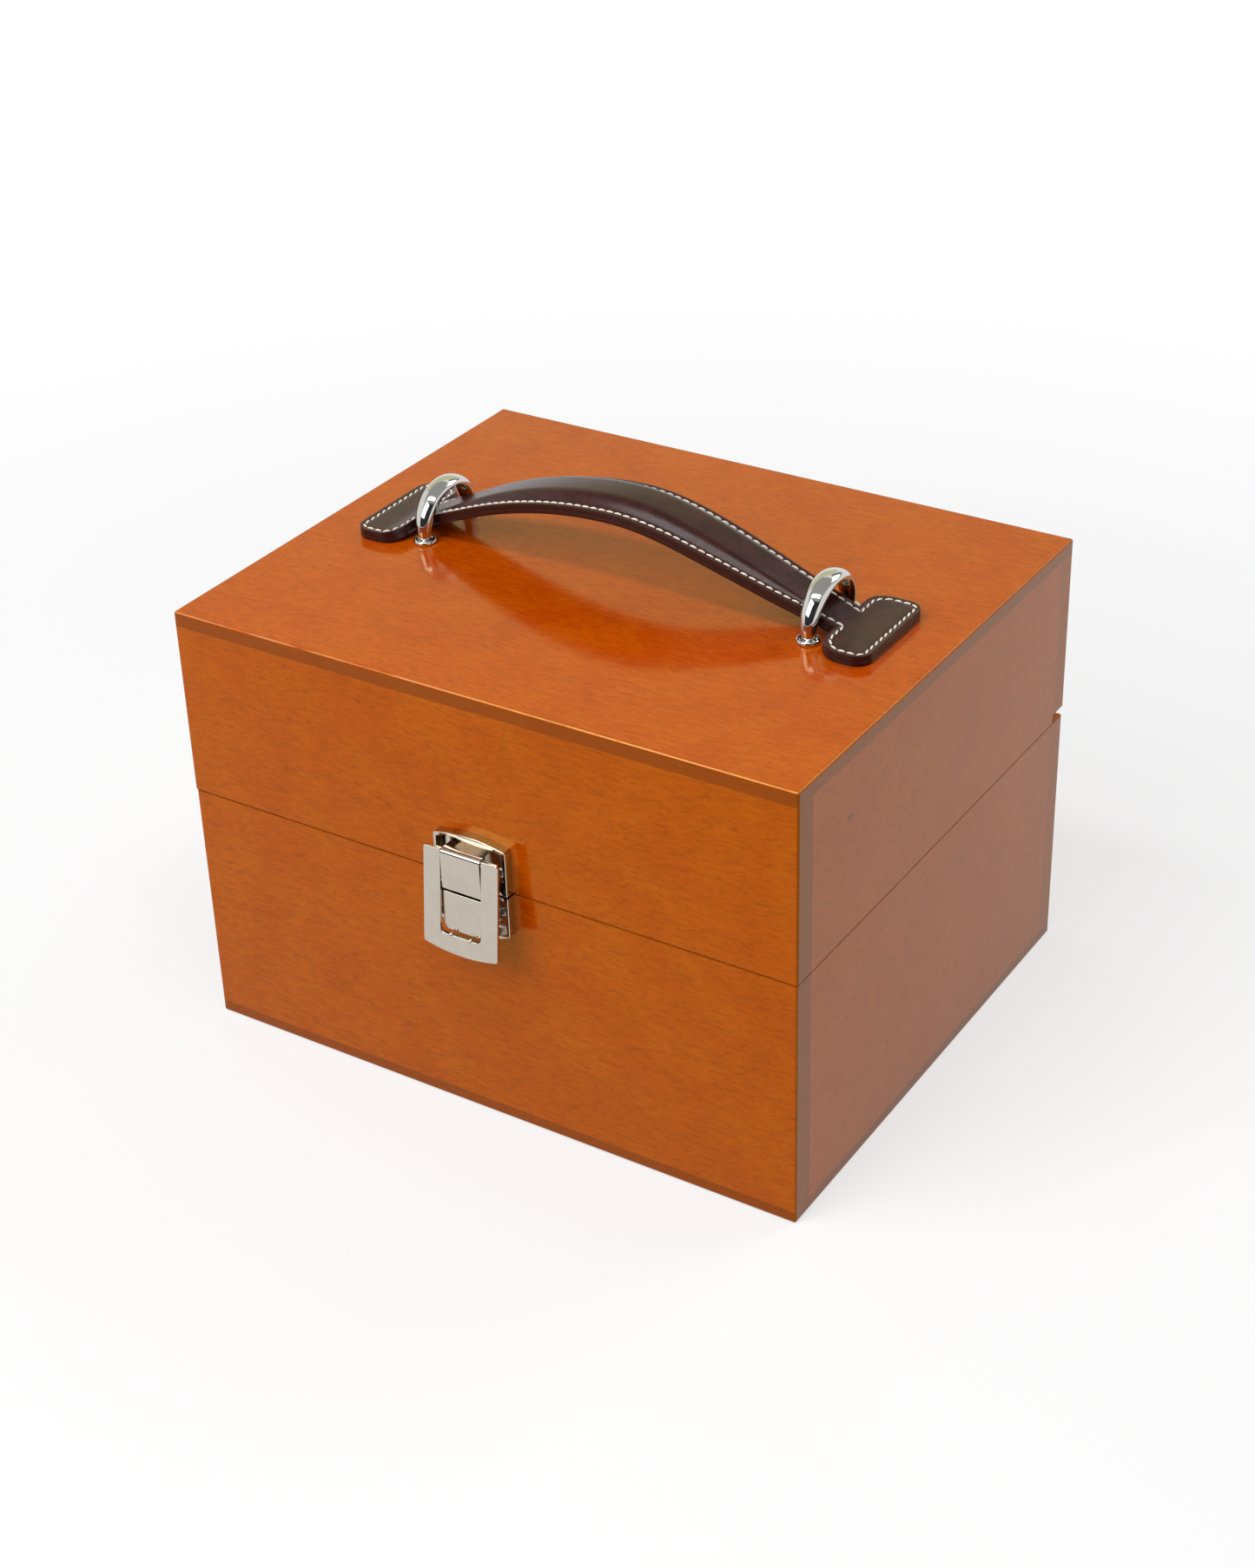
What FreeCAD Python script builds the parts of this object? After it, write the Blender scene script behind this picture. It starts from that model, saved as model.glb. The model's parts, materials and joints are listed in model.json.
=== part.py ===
import FreeCAD, Part
import math
import os

from FreeCAD import Vector

# A hinged wooden jewellery case with a leather carrying handle and a nickel snap hasp.
# Millimetres. X runs to the right, Y to the back and Z up, from the centre of the underside.

# Wooden body
case_width = 265.0
case_depth = 217.0
case_height = 181.5
board = 10.0              # thickness of the walls
top_thickness = 6.0       # panel that closes the lid
bottom_thickness = 5.0    # panel that closes the base
base_height = 104.2       # underside to the top edge of the base walls
closing_gap = 0.4         # hairline between base and lid
lid_overhang = 0.3        # the lid stands this far proud of the base at the front and sides
corner_round = 1.0        # outer corners of the wood
arris_round = 0.4         # edges that face the hairline
lining_thickness = 1.5
lining_clearance = 0.5    # lining to the walls

# Butt hinges, which sit in a gap under the lid's back wall
hinge_gap = 4.0
hinge_proud = 0.2         # knuckles stand this far behind the back face
hinge_spacing = 150.0     # between the middles of the two hinges
hinge_length = 40.0
knuckle_count = 5
knuckle_clearance = 0.2   # knuckles to the wood over and under them
knuckle_spacing = 0.2     # axial play between knuckles
leaf_thickness = 1.0
leaf_margin = 0.4         # inner edge of a leaf to the inner face of its wall
leaf_relief = 0.25        # a leaf to the other leaf's knuckles
hinge_pin_radius = 0.9
pin_head_radius = 1.6
pin_head_length = 0.8
running_fit = 0.05        # radial play of a pin in its hole
hinge_screw_pitch = 26.0
hinge_screw_head = 2.3    # radius
hinge_screw_shank = 1.3   # radius
hinge_screw_length = 9.0

# Snap hasp: a tray with a boss on the lid, one on the base, and a flap over both
hasp_width = 31.5
hasp_margin = 2.3         # straight side of the lid's tray beyond its boss
hasp_arch = 2.1           # rise of its arched end
catch_margin = 1.0        # straight side of the base's tray beyond its boss
catch_arch = 3.6          # rise of its arched end
hasp_split = 1.0          # between the two trays
tray_depth = 4.0
tray_floor = 1.0
tray_rim = 1.2
tray_corner = 1.0
boss_width = 17.1
boss_height = 16.2        # on the lid
catch_height = 15.7       # on the base
boss_reach = 10.0         # wood to the front of a boss, at the split
boss_lean = 1.0           # the base's boss stands this much further out at its foot
boss_proud = 0.4          # boss in front of the closed flap
boss_split = 1.4          # between the two bosses
boss_corner = 3.0
metal_round = 0.35
hasp_screw_drop = 8.5     # from the split
hasp_screw_head = 2.1     # radius
hasp_screw_dome = 1.4
hasp_screw_shank = 1.2    # radius
hasp_screw_cover = 2.0    # wood left behind the point of a screw
flap_overlap = 0.5        # flap wider than the trays at each side
flap_thickness = 1.3
flap_bulge = 2.1          # of the bottom edge
flap_sill = 1.0           # lower boss to the sill of the flap's window
flap_bar = 5.7            # sill to the bottom corners
flap_corner = 1.0
window_clearance = 0.35   # boss to the window's sides
window_corner = 2.0
flap_knuckle_radius = 1.6
flap_knuckle_length = 3.5
flap_pin_radius = 0.8
flap_pin_grip = 2.8       # pin's length inside a knuckle
flap_rest_angle = 5.5     # the photographed flap stands open by this many degrees
pip_radius = 0.8
pip_spacing = 8.6
pip_clearance = 0.35      # pips to the underside of the lower boss, with the flap closed

# Handle loops, screwed from inside the lid
loop_spacing = 169.2      # between the two loops
loop_feet = 30.2          # between the two feet of a loop
loop_height = 21.5
loop_leg = 4.1            # lid to the start of the arch
leg_radius = 2.6
crown_half_width = 3.4
crown_outer = 2.7         # midline to the outer face at the crown
crown_inner = 1.8         # midline to the inner face at the crown
loop_stations = 9         # sections round the arch
section_points = 8        # points round a section
collar_radius = 4.5
collar_height = 1.8
collar_bevel = 0.7
loop_screw_radius = 1.45
loop_screw_bite = 7.5     # screw's length inside a leg
loop_screw_head = 2.9     # radius
loop_screw_head_height = 2.2
loop_screw_head_taper = 0.6
washer_radius = 4.5
washer_thickness = 0.8
thread_play = 0.05
panel_hole_play = 0.25

# Leather handle: two layers, a padded core and a crossbar at each end
leather = 2.0             # thickness of one layer
handle_rest = 0.2         # lid to the crossbars
handle_slope = 23.1       # degrees
crown_radius = 160.0      # underside of the grip
bend_radius = 25.0        # underside of the bend into a crossbar
neck_headroom = 7.6       # neck to the crown of a loop
neck_clearance = 3.4      # neck's narrow end to the legs of a loop
neck_run = 2.1            # collars to the crossbar
grip_half_width = 14.7
crossbar_length = 20.8    # along the handle
crossbar_wing = 6.5       # crossbar beyond the legs of a loop at each side
crossbar_inner_round = 8.0
crossbar_outer_round = 6.5
dome_height = 5.5         # padding above the flat margins
dome_relief = 1.2         # dome's vanishing point to a loop
dome_cut = 3.0            # the dome ends this far short of that point
dome_margin = 4.2         # flat margin beside the padding
dome_end_height = 0.4
dome_sink = 0.6           # how far the dome is rooted in the flat layer
dome_shares = (-1.0, -0.78, -0.4, 0.0, 0.4, 0.78, 1.0)   # sections along the dome
dome_cover = 1.6          # leather over the core
core_inset = 1.2          # core narrower than the dome at each side
core_lift = 0.15          # core above the lower layer
core_play = 0.2           # core to the leather over it
layer_gap = 0.1           # between the two layers

# Places that follow from the sizes above
front = -case_depth / 2
back = case_depth / 2
lid_half = case_width / 2
base_half = lid_half - lid_overhang
base_front = front + lid_overhang
lid_bottom = base_height + closing_gap
lid_top = case_height - top_thickness
split = base_height + closing_gap / 2
knuckle_radius = hinge_gap / 2 - knuckle_clearance
hinge_inset = knuckle_radius - hinge_proud
leaf_depth = board - hinge_inset - leaf_margin
hinge_y = back - hinge_inset
hinge_z = base_height + hinge_gap / 2
hinge_centres = (-hinge_spacing / 2, hinge_spacing / 2)
hasp_screw_offset = (boss_width / 2 + hasp_width / 2 - tray_rim) / 2
hasp_screw_length = tray_floor + board - hasp_screw_cover
flap_width = hasp_width + 2 * flap_overlap
flap_reach = boss_reach - boss_proud
barrel_radius = flap_knuckle_radius + boss_proud
flap_axis_reach = boss_reach - barrel_radius
flap_axis_z = split + boss_split / 2 + boss_height - barrel_radius
catch_foot = split - boss_split / 2 - catch_height
flap_axis = Vector(0, front - flap_axis_reach, flap_axis_z)
window_half = boss_width / 2 + window_clearance
loop_midline = loop_feet / 2
loop_rise = loop_height - crown_outer - loop_leg
slope = math.radians(handle_slope)
handle_floor = case_height + handle_rest
neck_half_width = loop_midline - leg_radius - neck_clearance
neck_end = loop_spacing / 2 + collar_radius + neck_run
neck_top = case_height + loop_height - crown_outer - crown_inner - neck_headroom
handle_half_length = neck_end + crossbar_length
crossbar_half_width = loop_midline + leg_radius + crossbar_wing
dome_reach = loop_spacing / 2 - crown_half_width - dome_relief
dome_stations = [share * (dome_reach - dome_cut) for share in dome_shares]
x_axis = Vector(1, 0, 0)
y_axis = Vector(0, 1, 0)
z_axis = Vector(0, 0, 1)


def block(x0, x1, y0, y1, z0, z1):
    """A box between two corners."""
    return Part.makeBox(x1 - x0, y1 - y0, z1 - z0, Vector(x0, y0, z0))


def rod(start, direction, radius, length):
    """A round bar."""
    return Part.makeCylinder(radius, length, start, direction)


def middle(edge):
    """The middle of an edge's box."""
    return edge.BoundBox.Center


def is_along(edge, direction):
    """Whether an edge is straight and runs along a direction."""
    ends = [vertex.Point for vertex in edge.Vertexes]
    if len(ends) < 2 or edge.Curve.TypeId != "Part::GeomLine":
        return False
    run = (ends[1] - ends[0]).normalize()
    return abs(abs(run.dot(direction)) - 1) < 1e-6


def near(a, b):
    """Whether two places along an axis are the same."""
    return abs(a - b) < 1e-4


def rounded(shape, radius, wanted):
    """The shape with the edges that the test picks rounded."""
    return shape.makeFillet(radius, [edge for edge in shape.Edges if wanted(edge)])


def plate(points, reach0, reach1, face):
    """A plate parallel to the front, from edges in X and Z, between two distances from a face."""
    wire = Part.Wire(Part.__sortEdges__([edge.toShape() for edge in points]))
    sheet = Part.Face(wire)
    sheet.translate(Vector(0, face - reach0, 0))
    return sheet.extrude(Vector(0, reach0 - reach1, 0))


def save(name, shape):
    """Writes one piece, or a group of like pieces, under its node's name."""
    shape.exportStep("parts/" + name + ".step")


def group(shapes):
    """Several like solids in one node."""
    return Part.makeCompound(shapes)


# Wood
def end_wall(half_width, outer_y, inner_y, z0, z1, split_z):
    """A front or back wall over the full width, with its corners and its hairline edge eased."""
    wall = block(-half_width, half_width, min(outer_y, inner_y), max(outer_y, inner_y), z0, z1)
    wall = rounded(wall, corner_round, lambda e: is_along(e, z_axis) and near(middle(e).y, outer_y))

    def faces_hairline(edge):
        return near(edge.BoundBox.ZMin, split_z) and near(edge.BoundBox.ZMax, split_z) and (
            not near(middle(edge).y, inner_y))

    return rounded(wall, arris_round, faces_hairline)


def side_wall(sign, half_width, y0, y1, z0, z1, split_z):
    """A side wall between the front and back walls."""
    outer = sign * half_width
    inner = sign * (half_width - board)
    wall = block(min(outer, inner), max(outer, inner), y0, y1, z0, z1)
    return rounded(wall, arris_round, lambda e: is_along(e, y_axis) and near(middle(e).x, outer)
                   and near(middle(e).z, split_z))


def panel(half_width, y0, y1, z0, z1, show_z):
    """The panel that closes the lid or the base, with its corners and its outer rim eased."""
    sheet = block(-half_width, half_width, y0, y1, z0, z1)
    sheet = rounded(sheet, corner_round, lambda e: is_along(e, z_axis))
    return rounded(sheet, corner_round, lambda e: near(e.BoundBox.ZMin, show_z)
                   and near(e.BoundBox.ZMax, show_z))


# Hinges
def hinge_screw(x, top, sign):
    """A countersunk wood screw whose head is flush with the face of a leaf."""
    y = hinge_y - (leaf_depth + knuckle_radius + leaf_relief) / 2
    direction = Vector(0, 0, -sign)
    seat = Vector(x, y, top)
    head = Part.makeCone(hinge_screw_head, hinge_screw_shank, leaf_thickness, seat, direction)
    shank = rod(seat, direction, hinge_screw_shank, hinge_screw_length)
    return head.fuse(shank).removeSplitter()


def hinge_screws(centre, top, sign):
    """The two screws of one leaf."""
    return [hinge_screw(centre + step * hinge_screw_pitch / 2, top, sign) for step in (-1, 1)]


def hinge_leaf(centre, seat, sign, first_knuckle):
    """A leaf on the edge of a wall with every other knuckle; sign is the way from the wall to the axis."""
    start = centre - hinge_length / 2
    z0 = min(seat, seat + sign * leaf_thickness)
    z1 = z0 + leaf_thickness
    relief_y = hinge_y - knuckle_radius - leaf_relief
    leaf = block(start, start + hinge_length, hinge_y - leaf_depth, relief_y, z0, z1)
    length = (hinge_length - (knuckle_count - 1) * knuckle_spacing) / knuckle_count
    for index in range(first_knuckle, knuckle_count, 2):
        x0 = start + index * (length + knuckle_spacing)
        leaf = leaf.fuse(block(x0, x0 + length, relief_y, hinge_y, z0, z1))
        leaf = leaf.fuse(rod(Vector(x0, hinge_y, hinge_z), x_axis, knuckle_radius, length))
    bore = rod(Vector(start, hinge_y, hinge_z), x_axis, hinge_pin_radius + running_fit, hinge_length)
    leaf = leaf.cut(bore)
    for screw in hinge_screws(centre, seat + sign * leaf_thickness, sign):
        leaf = leaf.cut(screw)
    return leaf.removeSplitter()


def hinge_pin(centre):
    """A headed pin through all the knuckles of one hinge."""
    half = hinge_length / 2
    pin = rod(Vector(centre - half, hinge_y, hinge_z), x_axis, hinge_pin_radius, hinge_length)
    for sign in (-1, 1):
        start = Vector(centre + sign * half, hinge_y, hinge_z)
        pin = pin.fuse(rod(start, x_axis * sign, pin_head_radius, pin_head_length))
    return pin.removeSplitter()


# Hasp
def tray_outline(sign, side, arch, inset):
    """Outline of a tray in X and Z: straight sides and an arched end away from the split."""
    half = hasp_width / 2 - inset
    near_z = split + sign * (hasp_split / 2 + inset)
    far_z = split + sign * (hasp_split / 2 + side - inset)
    apex = Vector(0, 0, far_z + sign * arch)
    ends = ((-half, near_z), (half, near_z), (half, far_z), (-half, far_z))
    corners = [Vector(x, 0, z) for x, z in ends]
    return [
        Part.LineSegment(corners[0], corners[1]),
        Part.LineSegment(corners[1], corners[2]),
        Part.Arc(corners[2], apex, corners[3]),
        Part.LineSegment(corners[3], corners[0]),
    ]


def hinge_boss(face):
    """The block in the lid's tray, with a barrel along its top for the flap's pin."""
    z0 = split + boss_split / 2
    z1 = z0 + boss_height
    front_y = face - boss_reach
    body = block(-boss_width / 2, boss_width / 2, front_y, face - tray_floor, z0, z1)
    return rounded(body, barrel_radius, lambda e: is_along(e, x_axis)
                   and near(middle(e).y, front_y) and near(middle(e).z, z1))


def catch_boss(face):
    """The block in the base's tray, whose front leans out to a foot with rounded corners."""
    root = face - tray_floor
    brow = face - boss_reach
    foot = brow - boss_lean
    brow_z = catch_foot + catch_height
    profile = ((root, brow_z), (brow, brow_z), (foot, catch_foot), (root, catch_foot))
    corners = [Vector(-boss_width / 2, y, z) for y, z in profile]
    body = Part.Face(Part.makePolygon(corners + corners[:1])).extrude(Vector(boss_width, 0, 0))
    body = rounded(body, boss_corner, lambda e: is_along(e, y_axis) and near(middle(e).z, catch_foot))

    def on_front(edge):
        return all(near(vertex.Y, brow - boss_lean * (brow_z - vertex.Z) / catch_height)
                   for vertex in edge.Vertexes)

    return rounded(body, metal_round, on_front)


def hasp_screw(x, z, face):
    """A round-head wood screw through the floor of a tray."""
    seat = Vector(x, face - tray_floor, z)
    ball = (hasp_screw_head ** 2 + hasp_screw_dome ** 2) / (2 * hasp_screw_dome)
    dome = Part.makeSphere(ball, seat + Vector(0, ball - hasp_screw_dome, 0))
    reach = face - tray_floor
    dome = dome.common(block(x - ball, x + ball, reach - ball, reach, z - ball, z + ball))
    shank = rod(seat, y_axis, hasp_screw_shank, hasp_screw_length)
    return dome.fuse(shank).removeSplitter()


def hasp_screws(sign, face):
    """The two screws of one tray."""
    z = split + sign * hasp_screw_drop
    return [hasp_screw(side * hasp_screw_offset, z, face) for side in (-1, 1)]


def tray(sign, side, arch, face, boss):
    """A shallow tray with its boss and its screw holes; sign is the way from the split."""
    body = plate(tray_outline(sign, side, arch, 0), 0, tray_depth, face)
    far_z = split + sign * (hasp_split / 2 + side)
    body = rounded(body, tray_corner, lambda e: is_along(e, y_axis) and near(middle(e).z, far_z))
    rim_y = face - tray_depth
    body = rounded(body, metal_round, lambda e: near(e.BoundBox.YMin, rim_y)
                   and near(e.BoundBox.YMax, rim_y))
    body = body.cut(plate(tray_outline(sign, side, arch, tray_rim), tray_floor, tray_depth, face))
    body = body.fuse(boss)
    for screw in hasp_screws(sign, face):
        body = body.cut(screw)
    return body.removeSplitter()


def flap_pin():
    """The pin that the flap swings on, fixed in the boss on the lid."""
    reach = boss_width / 2 + window_clearance + flap_pin_grip
    return rod(flap_axis - x_axis * reach, x_axis, flap_pin_radius, 2 * reach)


def flap_bore(length):
    """The hole for the flap's pin."""
    return rod(flap_axis - x_axis * (length / 2), x_axis, flap_pin_radius + running_fit, length)


def latch_flap():
    """The flap: a plate with a window that is open at the top, two knuckles and two snap pips."""
    half = flap_width / 2
    top = flap_axis_z + flap_knuckle_radius
    sill = catch_foot - flap_sill
    low = sill - flap_bar
    corners = [Vector(-half, 0, top), Vector(half, 0, top), Vector(half, 0, low), Vector(-half, 0, low)]
    outline = [
        Part.LineSegment(corners[0], corners[1]),
        Part.LineSegment(corners[1], corners[2]),
        Part.Arc(corners[2], Vector(0, 0, low - flap_bulge), corners[3]),
        Part.LineSegment(corners[3], corners[0]),
    ]
    flap = plate(outline, flap_reach - flap_thickness, flap_reach, front)
    flap = rounded(flap, flap_corner, lambda e: is_along(e, y_axis))
    window = block(-window_half, window_half, front - 2 * boss_reach, front, sill, top + flap_corner)
    window = rounded(window, window_corner, lambda e: is_along(e, y_axis) and near(middle(e).z, sill))
    flap = flap.cut(window)
    front_y = front - flap_reach
    flap = rounded(flap, metal_round, lambda e: near(e.BoundBox.YMin, front_y)
                   and near(e.BoundBox.YMax, front_y))
    for side in (-1, 1):
        start = flap_axis + x_axis * (side * window_half)
        flap = flap.fuse(rod(start, x_axis * side, flap_knuckle_radius, flap_knuckle_length))
        pip = Vector(side * pip_spacing / 2, front_y + flap_thickness / 2,
                     catch_foot - pip_clearance - pip_radius)
        flap = flap.fuse(Part.makeSphere(pip_radius, pip))
    reach = boss_width + 2 * (window_clearance + flap_pin_grip + running_fit)
    flap = flap.cut(flap_bore(reach)).removeSplitter()
    flap.rotate(flap_axis, x_axis, -flap_rest_angle)
    return flap


# Loops
def loop_section(centre, outward, swell):
    """A D-shaped section; swell runs from 0 at a leg to 1 at the crown."""
    width = leg_radius + swell * (crown_half_width - leg_radius)
    outer = leg_radius + swell * (crown_outer - leg_radius)
    inner = leg_radius + swell * (crown_inner - leg_radius)
    points = []
    for index in range(section_points):
        turn = 2 * math.pi * index / section_points
        reach = outer if math.sin(turn) > 0 else inner
        points.append(centre + x_axis * (width * math.cos(turn)) + outward * (reach * math.sin(turn)))
    curve = Part.BSplineCurve()
    curve.interpolate(Points=points, PeriodicFlag=True, Parameters=list(range(section_points + 1)))
    return Part.Wire([curve.toShape()])


def handle_loop(x):
    """A loop: two round legs on collars and an arch that widens to its crown."""
    sections = [loop_section(Vector(x, -loop_midline, collar_height / 2), Vector(0, -1, 0), 0)]
    for index in range(loop_stations):
        turn = math.pi * index / (loop_stations - 1)
        centre = Vector(x, -loop_midline * math.cos(turn), loop_leg + loop_rise * math.sin(turn))
        outward = Vector(0, -loop_rise * math.cos(turn), loop_midline * math.sin(turn)).normalize()
        sections.append(loop_section(centre, outward, math.sin(turn) ** 2))
    sections.append(loop_section(Vector(x, loop_midline, collar_height / 2), Vector(0, 1, 0), 0))
    loop = Part.makeLoft(sections, True, False)
    for y in (-loop_midline, loop_midline):
        shoulder = Vector(x, y, collar_height - collar_bevel)
        loop = loop.fuse(rod(Vector(x, y, 0), z_axis, collar_radius, shoulder.z))
        loop = loop.fuse(Part.makeCone(collar_radius, collar_radius - collar_bevel, collar_bevel, shoulder))
        loop = loop.cut(rod(Vector(x, y, 0), z_axis, loop_screw_radius + thread_play,
                            loop_screw_bite + thread_play))
    loop.translate(Vector(0, 0, case_height))
    return loop


def loop_feet_places():
    """Where the four feet of the two loops stand on the lid."""
    return [Vector(side * loop_spacing / 2, end * loop_midline, case_height)
            for side in (-1, 1) for end in (-1, 1)]


def loop_washer(foot):
    """A washer under the lid's panel."""
    start = foot - z_axis * (top_thickness + washer_thickness)
    ring = rod(start, z_axis, washer_radius, washer_thickness)
    return ring.cut(rod(start, z_axis, loop_screw_radius + panel_hole_play, washer_thickness))


def loop_screw(foot):
    """A machine screw up through the lid into a leg."""
    seat = foot - z_axis * (top_thickness + washer_thickness)
    shank = rod(seat, z_axis, loop_screw_radius, top_thickness + washer_thickness + loop_screw_bite)
    head = Part.makeCone(loop_screw_head, loop_screw_head - loop_screw_head_taper, loop_screw_head_height,
                         seat, z_axis * -1)
    return shank.fuse(head).removeSplitter()


# Leather
neck_underside = neck_top - 2 * leather / math.cos(slope)
bend_z = handle_floor + bend_radius * (1 - math.cos(slope))
bend_x = loop_spacing / 2 + (neck_underside - bend_z) / math.tan(slope)
bend_start = bend_x + bend_radius * math.sin(slope)
crown_end_x = crown_radius * math.sin(slope)
crown_end_z = bend_z + (bend_x - crown_end_x) * math.tan(slope)
crown_centre_z = crown_end_z - crown_radius * math.cos(slope)


def profile_points(lift):
    """Points of the handle's side profile at a height above its underside, for the right half."""
    bend_centre = handle_floor + bend_radius
    half_bend = bend_radius - lift
    crown = crown_radius + lift
    return [
        Vector(crown * math.sin(slope), 0, crown_centre_z + crown * math.cos(slope)),
        Vector(bend_start - half_bend * math.sin(slope), 0, bend_centre - half_bend * math.cos(slope)),
        Vector(bend_start - half_bend * math.sin(slope / 2), 0,
               bend_centre - half_bend * math.cos(slope / 2)),
        Vector(bend_start, 0, bend_centre - half_bend),
        Vector(handle_half_length + leather, 0, bend_centre - half_bend),
    ]


def mirrored(point):
    """A point on the other half of the handle."""
    return Vector(-point.x, point.y, point.z)


def profile_edges(lift):
    """The handle's side profile from its left end to its right end."""
    right = profile_points(lift)
    left = [mirrored(point) for point in right]
    top = Vector(0, 0, crown_centre_z + crown_radius + lift)
    return [
        Part.LineSegment(left[4], left[3]),
        Part.Arc(left[3], left[2], left[1]),
        Part.LineSegment(left[1], left[0]),
        Part.Arc(left[0], top, right[0]),
        Part.LineSegment(right[0], right[1]),
        Part.Arc(right[1], right[2], right[3]),
        Part.LineSegment(right[3], right[4]),
    ]


def handle_plan():
    """The handle seen from above: a grip that narrows to a neck, with a crossbar at each end."""
    notch = Vector(neck_end, neck_half_width, 0)
    inner = crossbar_inner_round
    outer = crossbar_outer_round
    side = crossbar_half_width
    bow = 1 - math.sqrt(0.5)
    quarter = [
        notch,
        Vector(neck_end, side - inner, 0),
        Vector(neck_end + inner * bow, side - inner * bow, 0),
        Vector(neck_end + inner, side, 0),
        Vector(handle_half_length - outer, side, 0),
        Vector(handle_half_length - outer * bow, side - outer * bow, 0),
        Vector(handle_half_length, side - outer, 0),
    ]
    edges = []
    for sx in (-1, 1):
        for sy in (-1, 1):
            q = [Vector(sx * point.x, sy * point.y, 0) for point in quarter]
            edges.append(Part.LineSegment(q[0], q[1]))
            edges.append(Part.Arc(q[1], q[2], q[3]))
            edges.append(Part.LineSegment(q[3], q[4]))
            edges.append(Part.Arc(q[4], q[5], q[6]))
        edges.append(Part.LineSegment(Vector(sx * handle_half_length, outer - side, 0),
                                      Vector(sx * handle_half_length, side - outer, 0)))
    for sy in (-1, 1):
        edges.append(Part.Arc(Vector(-notch.x, sy * notch.y, 0), Vector(0, sy * grip_half_width, 0),
                              Vector(notch.x, sy * notch.y, 0)))
    return Part.Face(Part.Wire(Part.__sortEdges__([edge.toShape() for edge in edges])))


def leather_layer(low, high):
    """One layer of leather between two heights above the handle's underside."""
    lower = profile_edges(low)
    upper = profile_edges(high)
    ends = [Part.LineSegment(lower[0].StartPoint, upper[0].StartPoint),
            Part.LineSegment(lower[-1].EndPoint, upper[-1].EndPoint)]
    wire = Part.Wire(Part.__sortEdges__([edge.toShape() for edge in lower + upper + ends]))
    band = Part.Face(wire)
    reach = crossbar_half_width + leather
    band.translate(Vector(0, -reach, 0))
    band = band.extrude(Vector(0, 2 * reach, 0))
    plan = handle_plan()
    plan.translate(Vector(0, 0, case_height))
    tall = crown_centre_z + crown_radius + dome_height + 2 * leather - case_height
    return band.common(plan.extrude(Vector(0, 0, tall)))


def grip_frame(x):
    """A point on the handle's underside between the bends, and the way up from it."""
    if abs(x) < crown_end_x:
        turn = math.asin(x / crown_radius)
        up = Vector(math.sin(turn), 0, math.cos(turn))
        return Vector(0, 0, crown_centre_z) + up * crown_radius, up
    side = math.copysign(1, x)
    z = crown_end_z - (abs(x) - crown_end_x) * math.tan(slope)
    return Vector(x, 0, z), Vector(side * math.sin(slope), 0, math.cos(slope))


def grip_width(x):
    """Half the grip's width, along the arc of its plan."""
    return grip_half_width - (grip_half_width - neck_half_width) * (x / neck_end) ** 2


def padding(low, trim_top, trim_side, skirt):
    """A domed solid along the grip, from a height above the underside, with a straight skirt below it."""
    sections = []
    for x in dome_stations:
        base, up = grip_frame(x)
        rise = max(dome_end_height, dome_height * (1 - (x / dome_reach) ** 2))
        half = grip_width(x) - dome_margin - trim_side
        foot = base + up * low
        crest = base + up * (2 * leather + rise - trim_top)
        left = foot - y_axis * half
        right = foot + y_axis * half
        hem = [right, right - up * skirt, left - up * skirt, left] if skirt else [right, left]
        sides = [Part.LineSegment(a, b).toShape() for a, b in zip(hem, hem[1:])]
        sections.append(Part.Wire([Part.Arc(left, crest, right).toShape()] + sides))
    return Part.makeLoft(sections, True, False)


def build_base():
    """The base: four walls, a bottom panel and a felt lining."""
    inner_front = base_front + board
    inner_back = back - board
    z0 = bottom_thickness
    screws = [screw for face_x in hinge_centres
              for screw in hinge_screws(face_x, base_height + leaf_thickness, 1)]
    catch_screws = hasp_screws(-1, base_front)
    front_wall = end_wall(base_half, base_front, inner_front, z0, base_height, base_height)
    for screw in catch_screws:
        front_wall = front_wall.cut(screw)
    back_wall = end_wall(base_half, back, inner_back, z0, base_height, base_height)
    for screw in screws:
        back_wall = back_wall.cut(screw)
    save("base_front_board", front_wall)
    save("base_back_board", back_wall)
    for name, sign in (("left", -1), ("right", 1)):
        wall = side_wall(sign, base_half, inner_front, inner_back, z0, base_height, base_height)
        save("base_" + name + "_board", wall)
    save("bottom_panel", panel(base_half, base_front, back, 0, z0, 0))
    reach = base_half - board - lining_clearance
    save("floor_lining", block(-reach, reach, inner_front + lining_clearance, inner_back - lining_clearance,
                               z0, z0 + lining_thickness))
    for name, centre in zip(("left", "right"), hinge_centres):
        save("hinge_" + name + "_base_leaf", hinge_leaf(centre, base_height, 1, 0))
        save("hinge_" + name + "_pin", hinge_pin(centre))
    save("hinge_base_screws", group(screws))
    catch_side = catch_height + catch_margin
    save("catch_plate", tray(-1, catch_side, catch_arch, base_front, catch_boss(base_front)))
    save("catch_plate_screws", group(catch_screws))


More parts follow.
